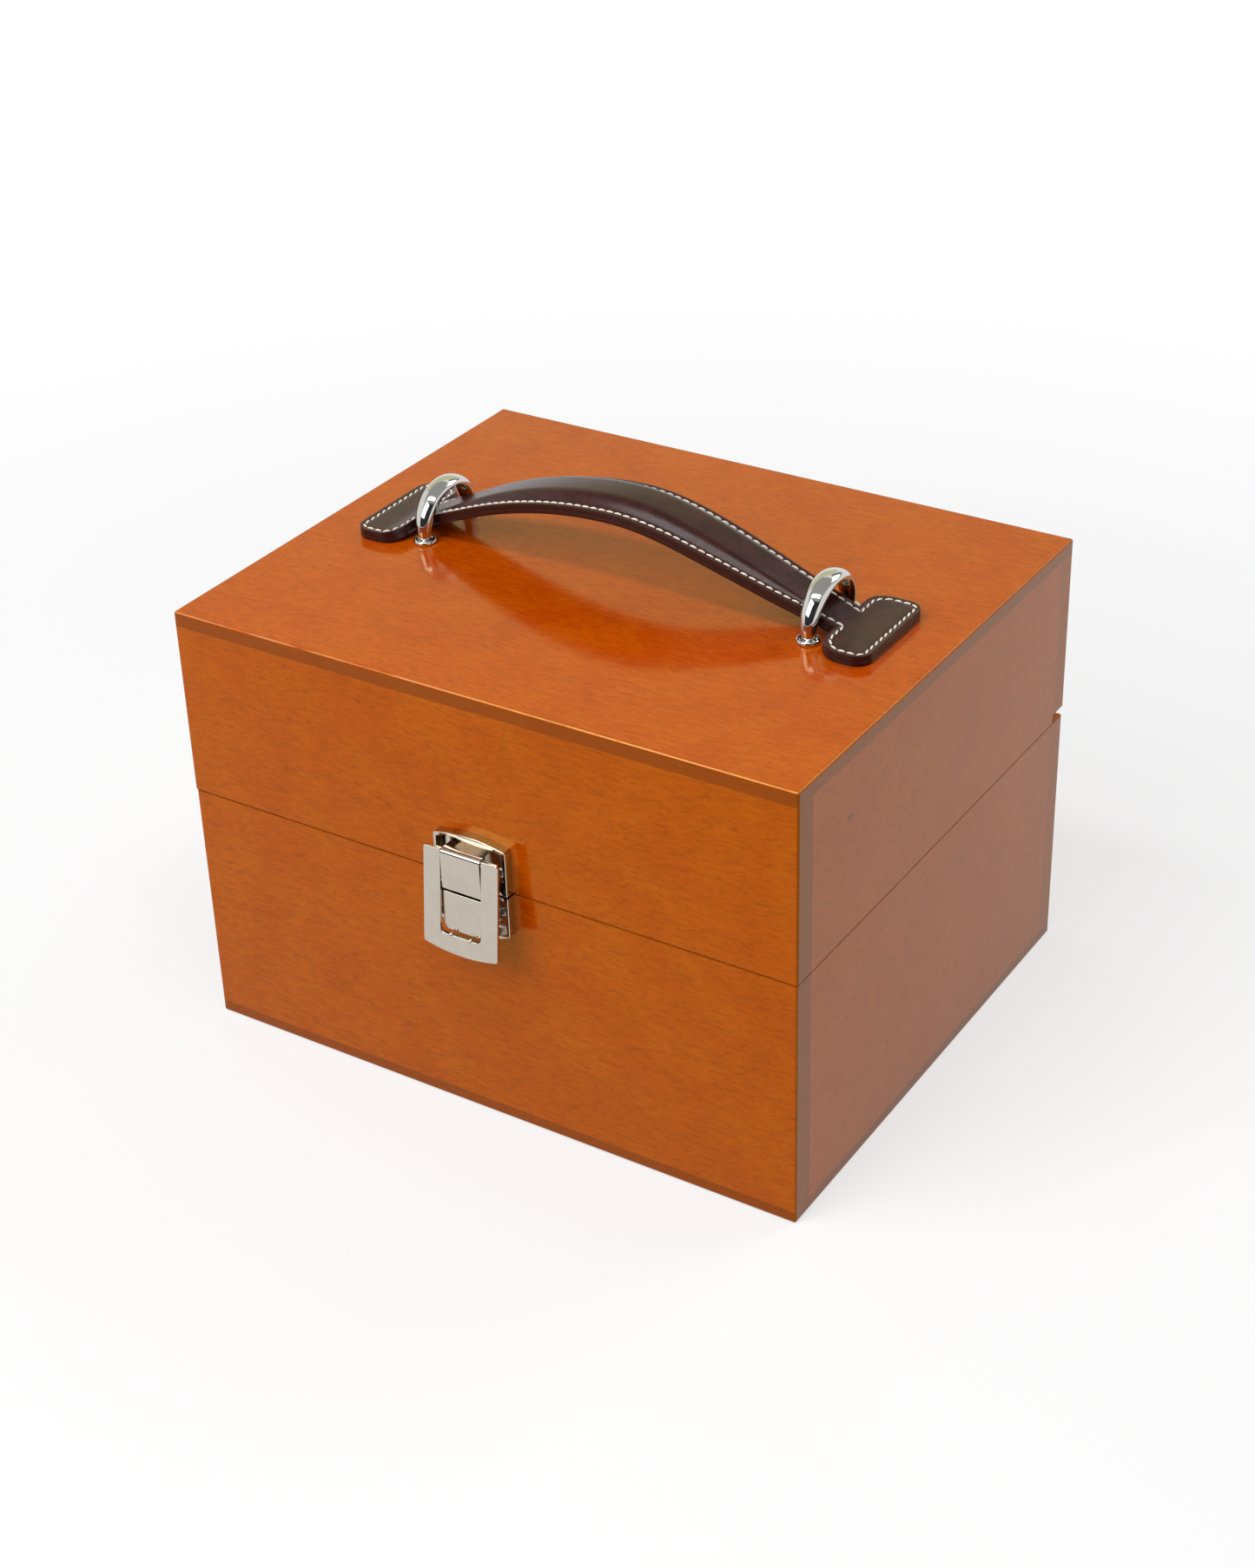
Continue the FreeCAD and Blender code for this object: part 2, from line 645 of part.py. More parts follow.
def build_lid():
    """The lid: four walls and a top panel, its half of the hinges and the hasp plate."""
    inner_front = front + board
    inner_back = back - board
    seat = base_height + hinge_gap
    screws = [screw for face_x in hinge_centres
              for screw in hinge_screws(face_x, seat - leaf_thickness, -1)]
    plate_screws = hasp_screws(1, front)
    front_wall = end_wall(lid_half, front, inner_front, lid_bottom, lid_top, lid_bottom)
    for screw in plate_screws:
        front_wall = front_wall.cut(screw)
    back_wall = end_wall(lid_half, back, inner_back, seat, lid_top, seat)
    for screw in screws:
        back_wall = back_wall.cut(screw)
    save("lid_front_board", front_wall)
    save("lid_back_board", back_wall)
    for name, sign in (("left", -1), ("right", 1)):
        wall = side_wall(sign, lid_half, inner_front, inner_back, lid_bottom, lid_top, lid_bottom)
        save("lid_" + name + "_board", wall)
    top = panel(lid_half, front, back, lid_top, case_height, case_height)
    for foot in loop_feet_places():
        top = top.cut(rod(foot - z_axis * top_thickness, z_axis, loop_screw_radius + panel_hole_play,
                          top_thickness))
    save("lid_top_panel", top)
    for name, centre in zip(("left", "right"), hinge_centres):
        save("hinge_" + name + "_lid_leaf", hinge_leaf(centre, seat, -1, 1))
    save("hinge_lid_screws", group(screws))
    plate_shape = tray(1, boss_height + hasp_margin, hasp_arch, front, hinge_boss(front))
    save("hasp_plate", plate_shape.cut(flap_bore(boss_width)))
    save("hasp_plate_screws", group(plate_screws))
    save("flap_hinge_pin", flap_pin())


def build_handle():
    """The loops with their screws and washers, and the leather handle that passes through them."""
    for name, side in (("left", -1), ("right", 1)):
        save(name + "_handle_loop", handle_loop(side * loop_spacing / 2))
    feet = loop_feet_places()
    save("handle_loop_screws", group([loop_screw(foot) for foot in feet]))
    save("handle_loop_washers", group([loop_washer(foot) for foot in feet]))
    save("handle_lower_leather", leather_layer(0, leather - layer_gap))
    upper = leather_layer(leather, 2 * leather)
    upper = upper.fuse(padding(2 * leather - dome_sink, 0, 0, 0))
    upper = upper.cut(padding(leather + core_lift, dome_cover, core_inset, 2 * core_lift))
    save("handle_upper_leather", upper.removeSplitter())
    save("handle_core", padding(leather + core_lift, dome_cover + core_play, core_inset + core_play, 0))


os.makedirs("parts", exist_ok=True)
build_base()
build_lid()
save("latch_flap", latch_flap())
build_handle()
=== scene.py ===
"""Looks of a lacquered wooden jewellery case with a leather handle, chrome loops and a snap hasp.

Lengths are in metres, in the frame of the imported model: X to the right, Y to the back and Z up.
"""

import json
import logging
import math
from contextlib import contextmanager
from dataclasses import dataclass
from enum import Enum
from typing import Any, Callable, Iterator, Mapping, Optional, Sequence

import bmesh
import bpy
from mathutils import Matrix, Vector, noise


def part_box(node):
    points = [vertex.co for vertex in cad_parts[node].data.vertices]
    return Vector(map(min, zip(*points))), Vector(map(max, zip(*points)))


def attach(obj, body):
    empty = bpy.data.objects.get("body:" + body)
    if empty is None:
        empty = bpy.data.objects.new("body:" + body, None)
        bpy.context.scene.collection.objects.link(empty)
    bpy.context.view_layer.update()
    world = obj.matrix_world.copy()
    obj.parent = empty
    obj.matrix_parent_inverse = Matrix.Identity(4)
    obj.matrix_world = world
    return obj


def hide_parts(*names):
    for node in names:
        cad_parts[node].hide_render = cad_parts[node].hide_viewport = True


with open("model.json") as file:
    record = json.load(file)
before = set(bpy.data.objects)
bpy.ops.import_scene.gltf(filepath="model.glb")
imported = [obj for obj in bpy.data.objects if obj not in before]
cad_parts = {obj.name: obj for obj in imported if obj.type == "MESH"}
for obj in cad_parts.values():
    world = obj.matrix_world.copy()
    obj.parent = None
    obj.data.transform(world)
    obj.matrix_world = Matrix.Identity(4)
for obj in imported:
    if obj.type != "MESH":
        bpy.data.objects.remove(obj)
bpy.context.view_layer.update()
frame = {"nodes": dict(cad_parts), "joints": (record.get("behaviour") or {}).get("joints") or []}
log = logging.getLogger("jewellery_case")

MM = 0.001
CREASE = 1.0  # faces that meet at more than this angle, in radians, make an edge
MERGE = 0.002 * MM  # points that are nearer than this are one point
RIM = "rim_mm"  # attribute of the leather: distance in from its outline, in millimetres
Colour = tuple[float, float, float, float]
Triple = tuple[float, float, float]
Pair = tuple[float, float]
Piece = bpy.types.Object


def srgb(red: int, green: int, blue: int) -> Colour:
    """Turns a display colour into the linear colour that shaders take.

    Args:
        red: Red from 0 to 255.
        green: Green from 0 to 255.
        blue: Blue from 0 to 255.

    Returns:
        The linear colour with full alpha.
    """
    shares = (red / 255, green / 255, blue / 255)
    linear = [share / 12.92 if share <= 0.04045 else ((share + 0.055) / 1.055) ** 2.4 for share in shares]
    return (linear[0], linear[1], linear[2], 1.0)


def soft_least(first: float, second: float, blend: float) -> float:
    """The smaller of two numbers with a rounded change between them, or the larger if blend is negative.

    Args:
        first: One number.
        second: The other number.
        blend: How far apart they are where the rounding ends.

    Returns:
        The number.
    """
    share = min(1.0, max(0.0, 0.5 + 0.5 * (second - first) / blend))
    return second + (first - second) * share - blend * share * (1 - share)


class Value:
    """A shader socket that Python expressions can be written with."""

    def __init__(self, nodes: "Nodes", socket: bpy.types.NodeSocket) -> None:
        """Keeps the socket and the nodes that it belongs to."""
        self.nodes = nodes
        self.socket = socket

    def math(self, operation: str, *terms: Any) -> "Value":
        """The result of one Math node on the given terms."""
        return self.nodes.add("ShaderNodeMath", {"operation": operation}, dict(enumerate(terms)))

    def __add__(self, other: Any) -> "Value":
        """Adds a value."""
        return self.math("ADD", self, other)

    def __radd__(self, other: Any) -> "Value":
        """Adds this to a value."""
        return self.math("ADD", other, self)

    def __sub__(self, other: Any) -> "Value":
        """Takes a value away."""
        return self.math("SUBTRACT", self, other)

    def __rsub__(self, other: Any) -> "Value":
        """Takes this away from a value."""
        return self.math("SUBTRACT", other, self)

    def __mul__(self, other: Any) -> "Value":
        """Multiplies by a value."""
        return self.math("MULTIPLY", self, other)

    def __rmul__(self, other: Any) -> "Value":
        """Multiplies a value by this."""
        return self.math("MULTIPLY", other, self)

    def __abs__(self) -> "Value":
        """The value without its sign."""
        return self.math("ABSOLUTE", self)

    def least(self, other: Any) -> "Value":
        """The smaller of two values."""
        return self.math("MINIMUM", self, other)

    def most(self, other: Any) -> "Value":
        """The larger of two values."""
        return self.math("MAXIMUM", self, other)

    def ramp(self, low: float, high: float) -> "Value":
        """0 below one value and 1 above another, with a smooth step between them."""
        return self.nodes.add("ShaderNodeMapRange", {"interpolation_type": "SMOOTHSTEP"},
                              {0: self, 1: low, 2: high})


class Nodes:
    """The nodes of one material or of the world."""

    def __init__(self, tree: bpy.types.NodeTree) -> None:
        """Starts with an empty tree."""
        self.tree = tree
        tree.nodes.clear()

    def add(self, kind: str, settings: Optional[Mapping[str, Any]] = None,
            sockets: Optional[Mapping[Any, Any]] = None, output: Any = 0) -> Value:
        """Adds a node.

        Args:
            kind: The node's type.
            settings: Its settings, which are set first.
            sockets: Values or links of its sockets, by name or number.
            output: The output that is wanted, by name or number.

        Returns:
            That output as a value.
        """
        node = self.tree.nodes.new(kind)
        for name, setting in (settings or {}).items():
            setattr(node, name, setting)
        for key, value in (sockets or {}).items():
            if isinstance(value, Value):
                self.tree.links.new(value.socket, node.inputs[key])
            else:
                node.inputs[key].default_value = value
        return Value(self, node.outputs[output])

    def place(self) -> Value:
        """The place on the surface, in the frame of the model."""
        return self.add("ShaderNodeTexCoord", output="Object")

    def split(self, vector: Value) -> tuple[Value, Value, Value]:
        """The three parts of a vector.

        Args:
            vector: The vector.

        Returns:
            Its X, Y and Z.
        """
        first = self.add("ShaderNodeSeparateXYZ", None, {0: vector})
        x, y, z = (Value(self, socket) for socket in first.socket.node.outputs)
        return x, y, z

    def stretch(self, vector: Value, scale: Sequence[float]) -> Value:
        """A vector times a scale for each axis."""
        return self.add("ShaderNodeVectorMath", {"operation": "MULTIPLY"}, {0: vector, 1: scale})

    def noise(self, vector: Value, scale: float, detail: float, warp: float = 0.0) -> Value:
        """Soft noise from 0 to 1."""
        return self.add("ShaderNodeTexNoise", None, {"Vector": vector, "Scale": scale, "Detail": detail,
                                                     "Distortion": warp})

    def mix(self, share: Any, first: Any, second: Any) -> Value:
        """A mix of two colours."""
        return self.add("ShaderNodeMix", {"data_type": "RGBA"}, {0: share, 6: first, 7: second}, 2)

    def bump(self, height: Value, depth: float, strength: float) -> Value:
        """A normal that follows a height from 0 to 1 over a depth in metres."""
        return self.add("ShaderNodeBump", None, {"Strength": strength, "Distance": depth, "Height": height})

    def finish(self, kind: str, shader: Value) -> None:
        """Links a shader to a new output node of the given type."""
        output = self.tree.nodes.new(kind)
        self.tree.links.new(shader.socket, output.inputs["Surface"])

    def seen(self) -> Value:
        """Which rays see the plain white studio.

        Returns:
            1 for rays from the camera and for mirrored and refracted rays, and 0 for the rest.
        """
        path = self.add("ShaderNodeLightPath", output="Is Camera Ray").socket.node
        kinds = ("Is Camera Ray", "Is Glossy Ray", "Is Transmission Ray")
        camera, glossy, clear = (Value(self, path.outputs[kind]) for kind in kinds)
        return camera.most(glossy).most(clear)


def new_material(name: str) -> tuple[bpy.types.Material, Nodes]:
    """Makes a material that has no nodes yet.

    Args:
        name: The name of the material.

    Returns:
        The material and its nodes.
    """
    material = bpy.data.materials.new(name)
    material.use_nodes = True
    return material, Nodes(material.node_tree)


@dataclass(frozen=True)
class Finish:
    """A surface finish, which makes its material once."""

    name: str

    def surface(self, nodes: Nodes) -> dict[str, Any]:
        """The sockets of the finish's shader."""
        raise NotImplementedError

    def material(self) -> bpy.types.Material:
        """Makes the finish's material, or finds it.

        Returns:
            The material.
        """
        found = bpy.data.materials.get(self.name)
        if found:
            return found
        made, nodes = new_material(self.name)
        shader = nodes.add("ShaderNodeBsdfPrincipled", None, self.surface(nodes))
        nodes.finish("ShaderNodeOutputMaterial", shader)
        return made

    def dress(self, piece: Piece) -> None:
        """Gives a piece this finish.

        Args:
            piece: A new piece, or a node of the model.
        """
        if not piece.material_slots:
            piece.data.materials.append(self.material())
        for slot in piece.material_slots:
            slot.material = self.material()
        log.info("%s: finish %s", piece.name, self.name)


class Grain(Enum):
    """The stretch of the wood's pattern, for the way that the grain of a board runs."""

    ALONG_X = (0.2, 1.0, 1.0)
    ALONG_Y = (1.0, 0.2, 1.0)


class Cut(Enum):
    """The kind of board, which says where its cut edges show."""

    BOARD = "end grain at both ends"
    PALE_BOARD = "end grain that took less stain"
    SIDE = "no cut edge"
    TOP = "cut edges below the eased rim"
    BOTTOM = "cut edges above the eased rim"


@dataclass(frozen=True)
class LacqueredWood(Finish):
    """Orange-brown stained wood under clear lacquer. Scales of its patterns are per metre."""

    grain: Grain
    cut: Cut
    half_width: float
    half_depth: float
    height: float
    seam: float
    stain: Colour = srgb(193, 81, 0)
    ruddy: Colour = srgb(187, 70, 0)
    deep: Colour = srgb(146, 42, 0)
    pore: Colour = srgb(120, 30, 0)
    shadow: Colour = srgb(104, 12, 0)
    edge: Colour = srgb(132, 38, 8)
    # pale colour of the top arrises: partly rubbed lacquer, partly a painted highlight
    wear_and_highlight: Colour = srgb(244, 186, 132)
    mirror_tint: Colour = (1.0, 0.9, 0.0, 1.0)
    knot_stain: Colour = srgb(74, 44, 34)
    knot_place: Triple = (132.5 * MM, -72.1 * MM, 153.0 * MM)
    knot_stretch: Triple = (1.0, 0.6, 1.0)
    knot_reach: Pair = (0.64 * MM, 1.6 * MM)
    cloud_scale: float = 38.0
    figure_scale: float = 900.0
    ring_scale: float = 26.0
    fleck_scale: float = 1500.0
    highlight_wear_scale: float = 60.0
    peel_scale: float = 260.0
    peel_depth: float = 0.06 * MM
    figure_share: float = 0.38
    ring_share: float = 0.2
    fleck_share: float = 0.36
    knot_share: float = 0.6
    edge_share: float = 0.75
    pale_share: float = 0.45
    seam_shade_share: float = 0.6
    highlight_wear_share: float = 0.6
    wall_reach: Pair = (0.4 * MM, 0.6 * MM)
    rim_reach: Pair = (0.5 * MM, 0.8 * MM)
    seam_shade_reach: Pair = (0.3 * MM, 0.7 * MM)
    highlight_wear_reach: Pair = (0.25 * MM, 0.7 * MM)
    roughness: float = 0.1
    seam_roughness: float = 0.5

    def surface(self, nodes: Nodes) -> dict[str, Any]:
        """Grain, cut edges, edge wear with a painted highlight, painted shade at the joint, and lacquer.

        Args:
            nodes: The material's nodes.

        Returns:
            The shader's sockets.
        """
        place = nodes.place()
        x, y, z = nodes.split(place)
        to_side = self.half_width - abs(x)
        to_front = self.half_depth - abs(y)
        to_top = self.height - z
        cloud = nodes.noise(place, self.cloud_scale, detail=3.0, warp=0.5)
        colour = self.figured(nodes, place, cloud)
        colour = nodes.mix(self.knot(nodes, place) * self.knot_share, colour, self.knot_stain)
        sawn = self.cut_edge(to_side, to_front, to_top, z)
        colour = nodes.mix(sawn * self.edge_share, colour, self.edge)
        # painted shade: the board edges either side of the joint between lid and base are darkened where the
        # narrow gap would be in shadow, and made rougher there
        painted_seam_shade = 1 - abs(z - self.seam).most(to_side.least(to_front)).ramp(*self.seam_shade_reach)
        colour = nodes.mix(painted_seam_shade * self.seam_shade_share, colour, self.shadow)
        # painted highlight and wear: the top front and back arrises get a patchy pale peach line, partly
        # rubbed lacquer and partly standing in for the lamp's highlight on the eased edge
        patches = nodes.noise(place, self.highlight_wear_scale, detail=2.0).ramp(0.15, 0.55)
        edge_wear_and_highlight = (1 - to_front.most(to_top).ramp(*self.highlight_wear_reach)) * patches
        colour = nodes.mix(edge_wear_and_highlight * self.highlight_wear_share, colour, self.wear_and_highlight)
        peel = nodes.noise(place, self.peel_scale, detail=1.0)
        rough = self.roughness + 0.05 * cloud + self.seam_roughness * painted_seam_shade
        return {"Base Color": colour, "Roughness": rough, "Specular IOR Level": 0.5,
                "Specular Tint": self.mirror_tint, "Normal": nodes.bump(peel, self.peel_depth, strength=0.3)}

    def figured(self, nodes: Nodes, place: Value, cloud: Value) -> Value:
        """Stained wood with its fine figure, growth rings and pores.

        Args:
            nodes: The material's nodes.
            place: The place on the surface.
            cloud: The soft noise that the stain follows.

        Returns:
            The colour.
        """
        along = nodes.stretch(place, self.grain.value)
        figure = nodes.noise(along, self.figure_scale, detail=3.0, warp=0.2).ramp(0.35, 0.75)
        ring = 1 - abs(nodes.noise(along, self.ring_scale, detail=1.0, warp=0.8) - 0.5).ramp(0.0, 0.01)
        fleck = nodes.noise(along, self.fleck_scale, detail=2.0, warp=0.2).ramp(0.53, 0.7)
        colour = nodes.mix(cloud.ramp(0.3, 0.7), self.ruddy, self.stain)
        colour = nodes.mix(figure * self.figure_share, colour, self.deep)
        colour = nodes.mix(ring * self.ring_share, colour, self.deep)
        return nodes.mix(fleck * self.fleck_share, colour, self.pore)

    def knot(self, nodes: Nodes, place: Value) -> Value:
        """A small dark knot on the right side of the lid.

        Args:
            nodes: The material's nodes.
            place: The place on the surface.

        Returns:
            The mask, from 0 to 1.
        """
        centre = Vector(self.knot_place) * Vector(self.knot_stretch)
        reach = nodes.add("ShaderNodeVectorMath", {"operation": "DISTANCE"},
                          {0: nodes.stretch(place, self.knot_stretch), 1: centre}, "Value")
        return 1 - reach.ramp(*self.knot_reach)

    def cut_edge(self, to_side: Value, to_front: Value, to_top: Value, height: Value) -> Value:
        """Where the cut edges of this board show, from 0 to 1.

        Args:
            to_side: Distance in from the sides of the case.
            to_front: Distance in from its front and back.
            to_top: Distance down from its top.
            height: Distance up from its underside.

        Returns:
            The mask.
        """
        at_side = 1 - to_side.ramp(*self.wall_reach)
        at_wall = 1 - to_side.least(to_front).ramp(*self.wall_reach)
        if self.cut is Cut.BOARD:
            return at_side
        if self.cut is Cut.PALE_BOARD:
            return at_side * self.pale_share
        if self.cut is Cut.TOP:
            return at_wall * to_top.ramp(*self.rim_reach)
        if self.cut is Cut.BOTTOM:
            return at_wall * height.ramp(*self.rim_reach)
        return at_side * 0.0


@dataclass(frozen=True)
class Metal(Finish):
    """Plated metal with faint smears."""

    colour: Colour
    roughness: float
    smear: float
    dull: Colour = srgb(150, 140, 128)
    dull_share: float = 0.12
    cloud_scale: float = 240.0
    brush_scale: float = 4200.0
    brush_depth: float = 0.004 * MM

    def surface(self, nodes: Nodes) -> dict[str, Any]:
        """Plating with cloudy gloss.

        Args:
            nodes: The material's nodes.

        Returns:
            The shader's sockets.
        """
        place = nodes.place()
        cloud = nodes.noise(place, self.cloud_scale, detail=3.0)
        tint = nodes.mix(cloud.ramp(0.3, 0.8) * self.dull_share, self.colour, self.dull)
        brushed = nodes.noise(nodes.stretch(place, Grain.ALONG_X.value), self.brush_scale, detail=1.0)
        return {"Base Color": tint, "Metallic": 1.0, "Roughness": self.roughness + self.smear * cloud,
                "Normal": nodes.bump(brushed, self.brush_depth, strength=0.2)}


@dataclass(frozen=True)
class SmoothLeather(Finish):
    """Dark brown smooth leather with burnished edges."""

    colour: Colour = srgb(62, 26, 22)
    deep: Colour = srgb(48, 18, 14)
    burnished: Colour = srgb(51, 21, 19)
    cloud_scale: float = 140.0
    pebble_scale: float = 1900.0
    pore_scale: float = 3200.0
    pebble_depth: float = 0.05 * MM
    cut_reach_mm: Pair = (0.15, 0.6)
    roughness: float = 0.17

    def surface(self, nodes: Nodes) -> dict[str, Any]:
        """Fine pebble, cloudy colour and dark cut edges.

        Args:
            nodes: The material's nodes.

        Returns:
            The shader's sockets.
        """
        place = nodes.place()
        cloud = nodes.noise(place, self.cloud_scale, detail=3.0)
        pebble = nodes.add("ShaderNodeTexVoronoi", {"feature": "SMOOTH_F1"},
                           {"Vector": place, "Scale": self.pebble_scale})
        pore = nodes.noise(place, self.pore_scale, detail=2.0)
        rim = nodes.add("ShaderNodeAttribute", {"attribute_name": RIM}, None, "Fac")
        cut = 1 - rim.ramp(*self.cut_reach_mm)
        colour = nodes.mix(cloud.ramp(0.3, 0.75), self.deep, self.colour)
        colour = nodes.mix(cut, colour, self.burnished)
        rough = self.roughness + 0.08 * cloud + 0.1 * pore
        return {"Base Color": colour, "Roughness": rough, "Specular IOR Level": 0.3,
                "Normal": nodes.bump(pebble + pore * 0.5, self.pebble_depth, strength=0.65)}


@dataclass(frozen=True)
class WaxedThread(Finish):
    """Cream thread."""

    colour: Colour = srgb(250, 240, 224)
    shade: Colour = srgb(218, 196, 166)
    fibre_scale: float = 3600.0
    fibre_depth: float = 0.08 * MM

    def surface(self, nodes: Nodes) -> dict[str, Any]:
        """Thread with uneven colour and fibres.

        Args:
            nodes: The material's nodes.

        Returns:
            The shader's sockets.
        """
        fibre = nodes.noise(nodes.place(), self.fibre_scale, detail=2.0)
        colour = nodes.mix(fibre.ramp(0.4, 0.8) * 0.7, self.colour, self.shade)
        return {"Base Color": colour, "Roughness": 0.6,
                "Normal": nodes.bump(fibre, self.fibre_depth, strength=0.5)}


@dataclass(frozen=True)
class Felt(Finish):
    """Matt brown felt."""

    colour: Colour = srgb(92, 66, 50)
    shade: Colour = srgb(66, 45, 34)
    fibre_scale: float = 1500.0
    cloud_scale: float = 45.0
    fibre_depth: float = 0.3 * MM

    def surface(self, nodes: Nodes) -> dict[str, Any]:
        """Matted fibres.

        Args:
            nodes: The material's nodes.

        Returns:
            The shader's sockets.
        """
        place = nodes.place()
        fibre = nodes.noise(place, self.fibre_scale, detail=4.0, warp=1.5)
        cloud = nodes.noise(place, self.cloud_scale, detail=3.0)
        colour = nodes.mix((fibre * 0.7 + cloud * 0.3).ramp(0.3, 0.7), self.shade, self.colour)
        return {"Base Color": colour, "Roughness": 0.95, "Sheen Weight": 0.3,
                "Normal": nodes.bump(fibre, self.fibre_depth, strength=0.6)}


def only(piece: Piece) -> None:
    """Leaves one piece selected and active.

    Args:
        piece: The piece.
    """
    bpy.ops.object.select_all(action="DESELECT")
    piece.select_set(True)
    bpy.context.view_layer.objects.active = piece


@contextmanager
def shaping(piece: Piece) -> Iterator[None]:
    """Opens a piece in edit mode with all of it selected, and closes it again.

    Args:
        piece: The piece.
    """
    only(piece)
    bpy.ops.object.mode_set(mode="EDIT")
    bpy.ops.mesh.select_all(action="SELECT")
    yield
    bpy.ops.object.mode_set(mode="OBJECT")


def pick_faces(piece: Piece, wanted: Callable[[bmesh.types.BMFace], bool]) -> None:
    """Selects just some faces of the piece that is being shaped.

    Args:
        piece: The piece.
        wanted: The test that picks them.
    """
    bpy.ops.mesh.select_mode(type="FACE")
    bpy.ops.mesh.select_all(action="DESELECT")
    shape = bmesh.from_edit_mesh(piece.data)
    for face in shape.faces:
        face.select_set(wanted(face))
    bmesh.update_edit_mesh(piece.data)


def pick_edges(piece: Piece, wanted: Callable[[bmesh.types.BMEdge], bool]) -> None:
    """Selects just some edges of the piece that is being shaped.

    Args:
        piece: The piece.
        wanted: The test that picks them.
    """
    bpy.ops.mesh.select_mode(type="EDGE")
    bpy.ops.mesh.select_all(action="DESELECT")
    shape = bmesh.from_edit_mesh(piece.data)
    for edge in shape.edges:
        if wanted(edge):
            edge.select_set(True)
    bmesh.update_edit_mesh(piece.data)


def primitive(name: str, add: Callable[..., Any], scale: Triple = (1.0, 1.0, 1.0), **settings: Any) -> Piece:
    """Adds a primitive with nothing else selected.

    Args:
        name: The name of the piece.
        add: The operator that adds it.
        scale: What it is scaled by after that.
        settings: What the operator is given.

    Returns:
        The piece, with its place in its mesh.
    """
    bpy.ops.object.select_all(action="DESELECT")
    add(**settings)
    piece = bpy.context.object
    piece.name = piece.data.name = name
    piece.scale = scale
    bpy.ops.object.transform_apply(location=True, rotation=True, scale=True)
    return piece


def extrude_up(height: float) -> None:
    """Extrudes what is selected along Z, in edit mode."""
    bpy.ops.mesh.extrude_region_move(TRANSFORM_OT_translate={"value": (0, 0, height)})


def tidy_normals() -> None:
    """Merges doubles and turns the faces outwards, in edit mode."""
    bpy.ops.mesh.select_all(action="SELECT")
    bpy.ops.mesh.remove_doubles(threshold=MERGE)
    bpy.ops.mesh.normals_make_consistent(inside=False)


def soften(piece: Piece, degrees: float = 35.0) -> None:
    """Smooths the shading of a piece, but for its sharp edges."""
    only(piece)
    bpy.ops.object.shade_smooth_by_angle(angle=math.radians(degrees))


def joined(name: str, pieces: Sequence[Piece]) -> Piece:
    """Makes several meshes one piece.

    Args:
        name: The name of the piece.
        pieces: The meshes.

    Returns:
        The piece.
    """
    only(pieces[0])
    for piece in pieces:
        piece.select_set(True)
    bpy.ops.object.join()
    pieces[0].name = pieces[0].data.name = name
    return pieces[0]


def copied(piece: Piece, matrix: Matrix) -> Piece:
    """A copy of a piece with its own mesh.

    Args:
        piece: The piece.
        matrix: Where the copy goes.

    Returns:
        The copy.
    """
    copy = bpy.data.objects.new(piece.name, piece.data.copy())
    copy.data.transform(matrix)
    bpy.context.scene.collection.objects.link(copy)
    return copy


def placed(spot: Sequence[float], tilt: float, twist: float = 0.0) -> Matrix:
    """The matrix that puts a copy in its place.

    Args:
        spot: The place.
        tilt: Degrees about X.
        twist: Degrees about the copy's own Z, before it is tilted.

    Returns:
        The matrix.
    """
    tilted = Matrix.Rotation(math.radians(tilt), 4, "X")
    return Matrix.Translation(spot) @ tilted @ Matrix.Rotation(math.radians(twist), 4, "Z")


def spread(name: str, model: Piece, places: Sequence[Matrix]) -> Piece:
    """Copies a model to its places as one piece.

    Args:
        name: The name of the piece.
        model: The model, which isn't kept.
        places: A matrix for each copy.

    Returns:
        The piece.
    """
    copies = [copied(model, place) for place in places]
    bpy.data.objects.remove(model)
    return joined(name, copies)


def turned(name: str, rings: Sequence[Pair], sides: int) -> Piece:
    """A piece turned on a lathe about Z.

    Args:
        name: The name of the piece.
        rings: Radius and height of each ring of its profile, from one end to the other.
        sides: Sides of a ring.

    Returns:
        The piece, closed at both ends.
    """
    radius, height = rings[0]
    piece = primitive(name, bpy.ops.mesh.primitive_circle_add, vertices=sides, radius=radius,
                      fill_type="NGON", location=(0, 0, height))
    with shaping(piece):
        for next_radius, next_height in rings[1:]:
            extrude_up(next_height - height)
            share = next_radius / radius
            bpy.ops.transform.resize(value=(share, share, 1))
            radius, height = next_radius, next_height
        tidy_normals()
    return piece


def seat(piece: Piece, body: str, slot: str, finish: Finish, *nodes: str) -> None:
    """Dresses a piece and fixes it to the model.

    Args:
        piece: The piece.
        body: The body that it moves with.
        slot: The record's material slot; it is not used.
        finish: Its finish.
        nodes: The nodes that it stands for.
    """
    finish.dress(piece)
    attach(piece, body)
    if nodes:
        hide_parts(*nodes)
    log.info("%s: %d faces on %s", piece.name, len(piece.data.polygons), body)


@dataclass
class WoodenCase:
    """The wooden base and lid, which keep their modelled shapes."""

    half_width: float
    half_depth: float
    height: float
    seam: float

    @classmethod
    def from_frame(cls) -> "WoodenCase":
        """Takes the sizes from the lid's panel, and the height of the joint from the front boards.

        Returns:
            The case.
        """
        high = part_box("lid_top_panel")[1]
        seam = (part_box("base_front_board")[1].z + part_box("lid_front_board")[0].z) / 2
        return cls(high.x, high.y, high.z, seam)

    def dress(self) -> None:
        """Gives each board its wood, with the grain along its length."""
        for name, grain, cut, nodes in (
                ("stained_front", Grain.ALONG_X, Cut.BOARD, ("base_front_board", "lid_front_board")),
                ("stained_back", Grain.ALONG_X, Cut.PALE_BOARD, ("base_back_board", "lid_back_board")),
                ("stained_side", Grain.ALONG_Y, Cut.SIDE,
                 ("base_left_board", "base_right_board", "lid_left_board", "lid_right_board")),
                ("stained_top", Grain.ALONG_X, Cut.TOP, ("lid_top_panel",)),
                ("stained_bottom", Grain.ALONG_X, Cut.BOTTOM, ("bottom_panel",))):
            wood = LacqueredWood(name, grain, cut, self.half_width, self.half_depth, self.height, self.seam)
            for node in nodes:
                wood.dress(frame["nodes"][node])


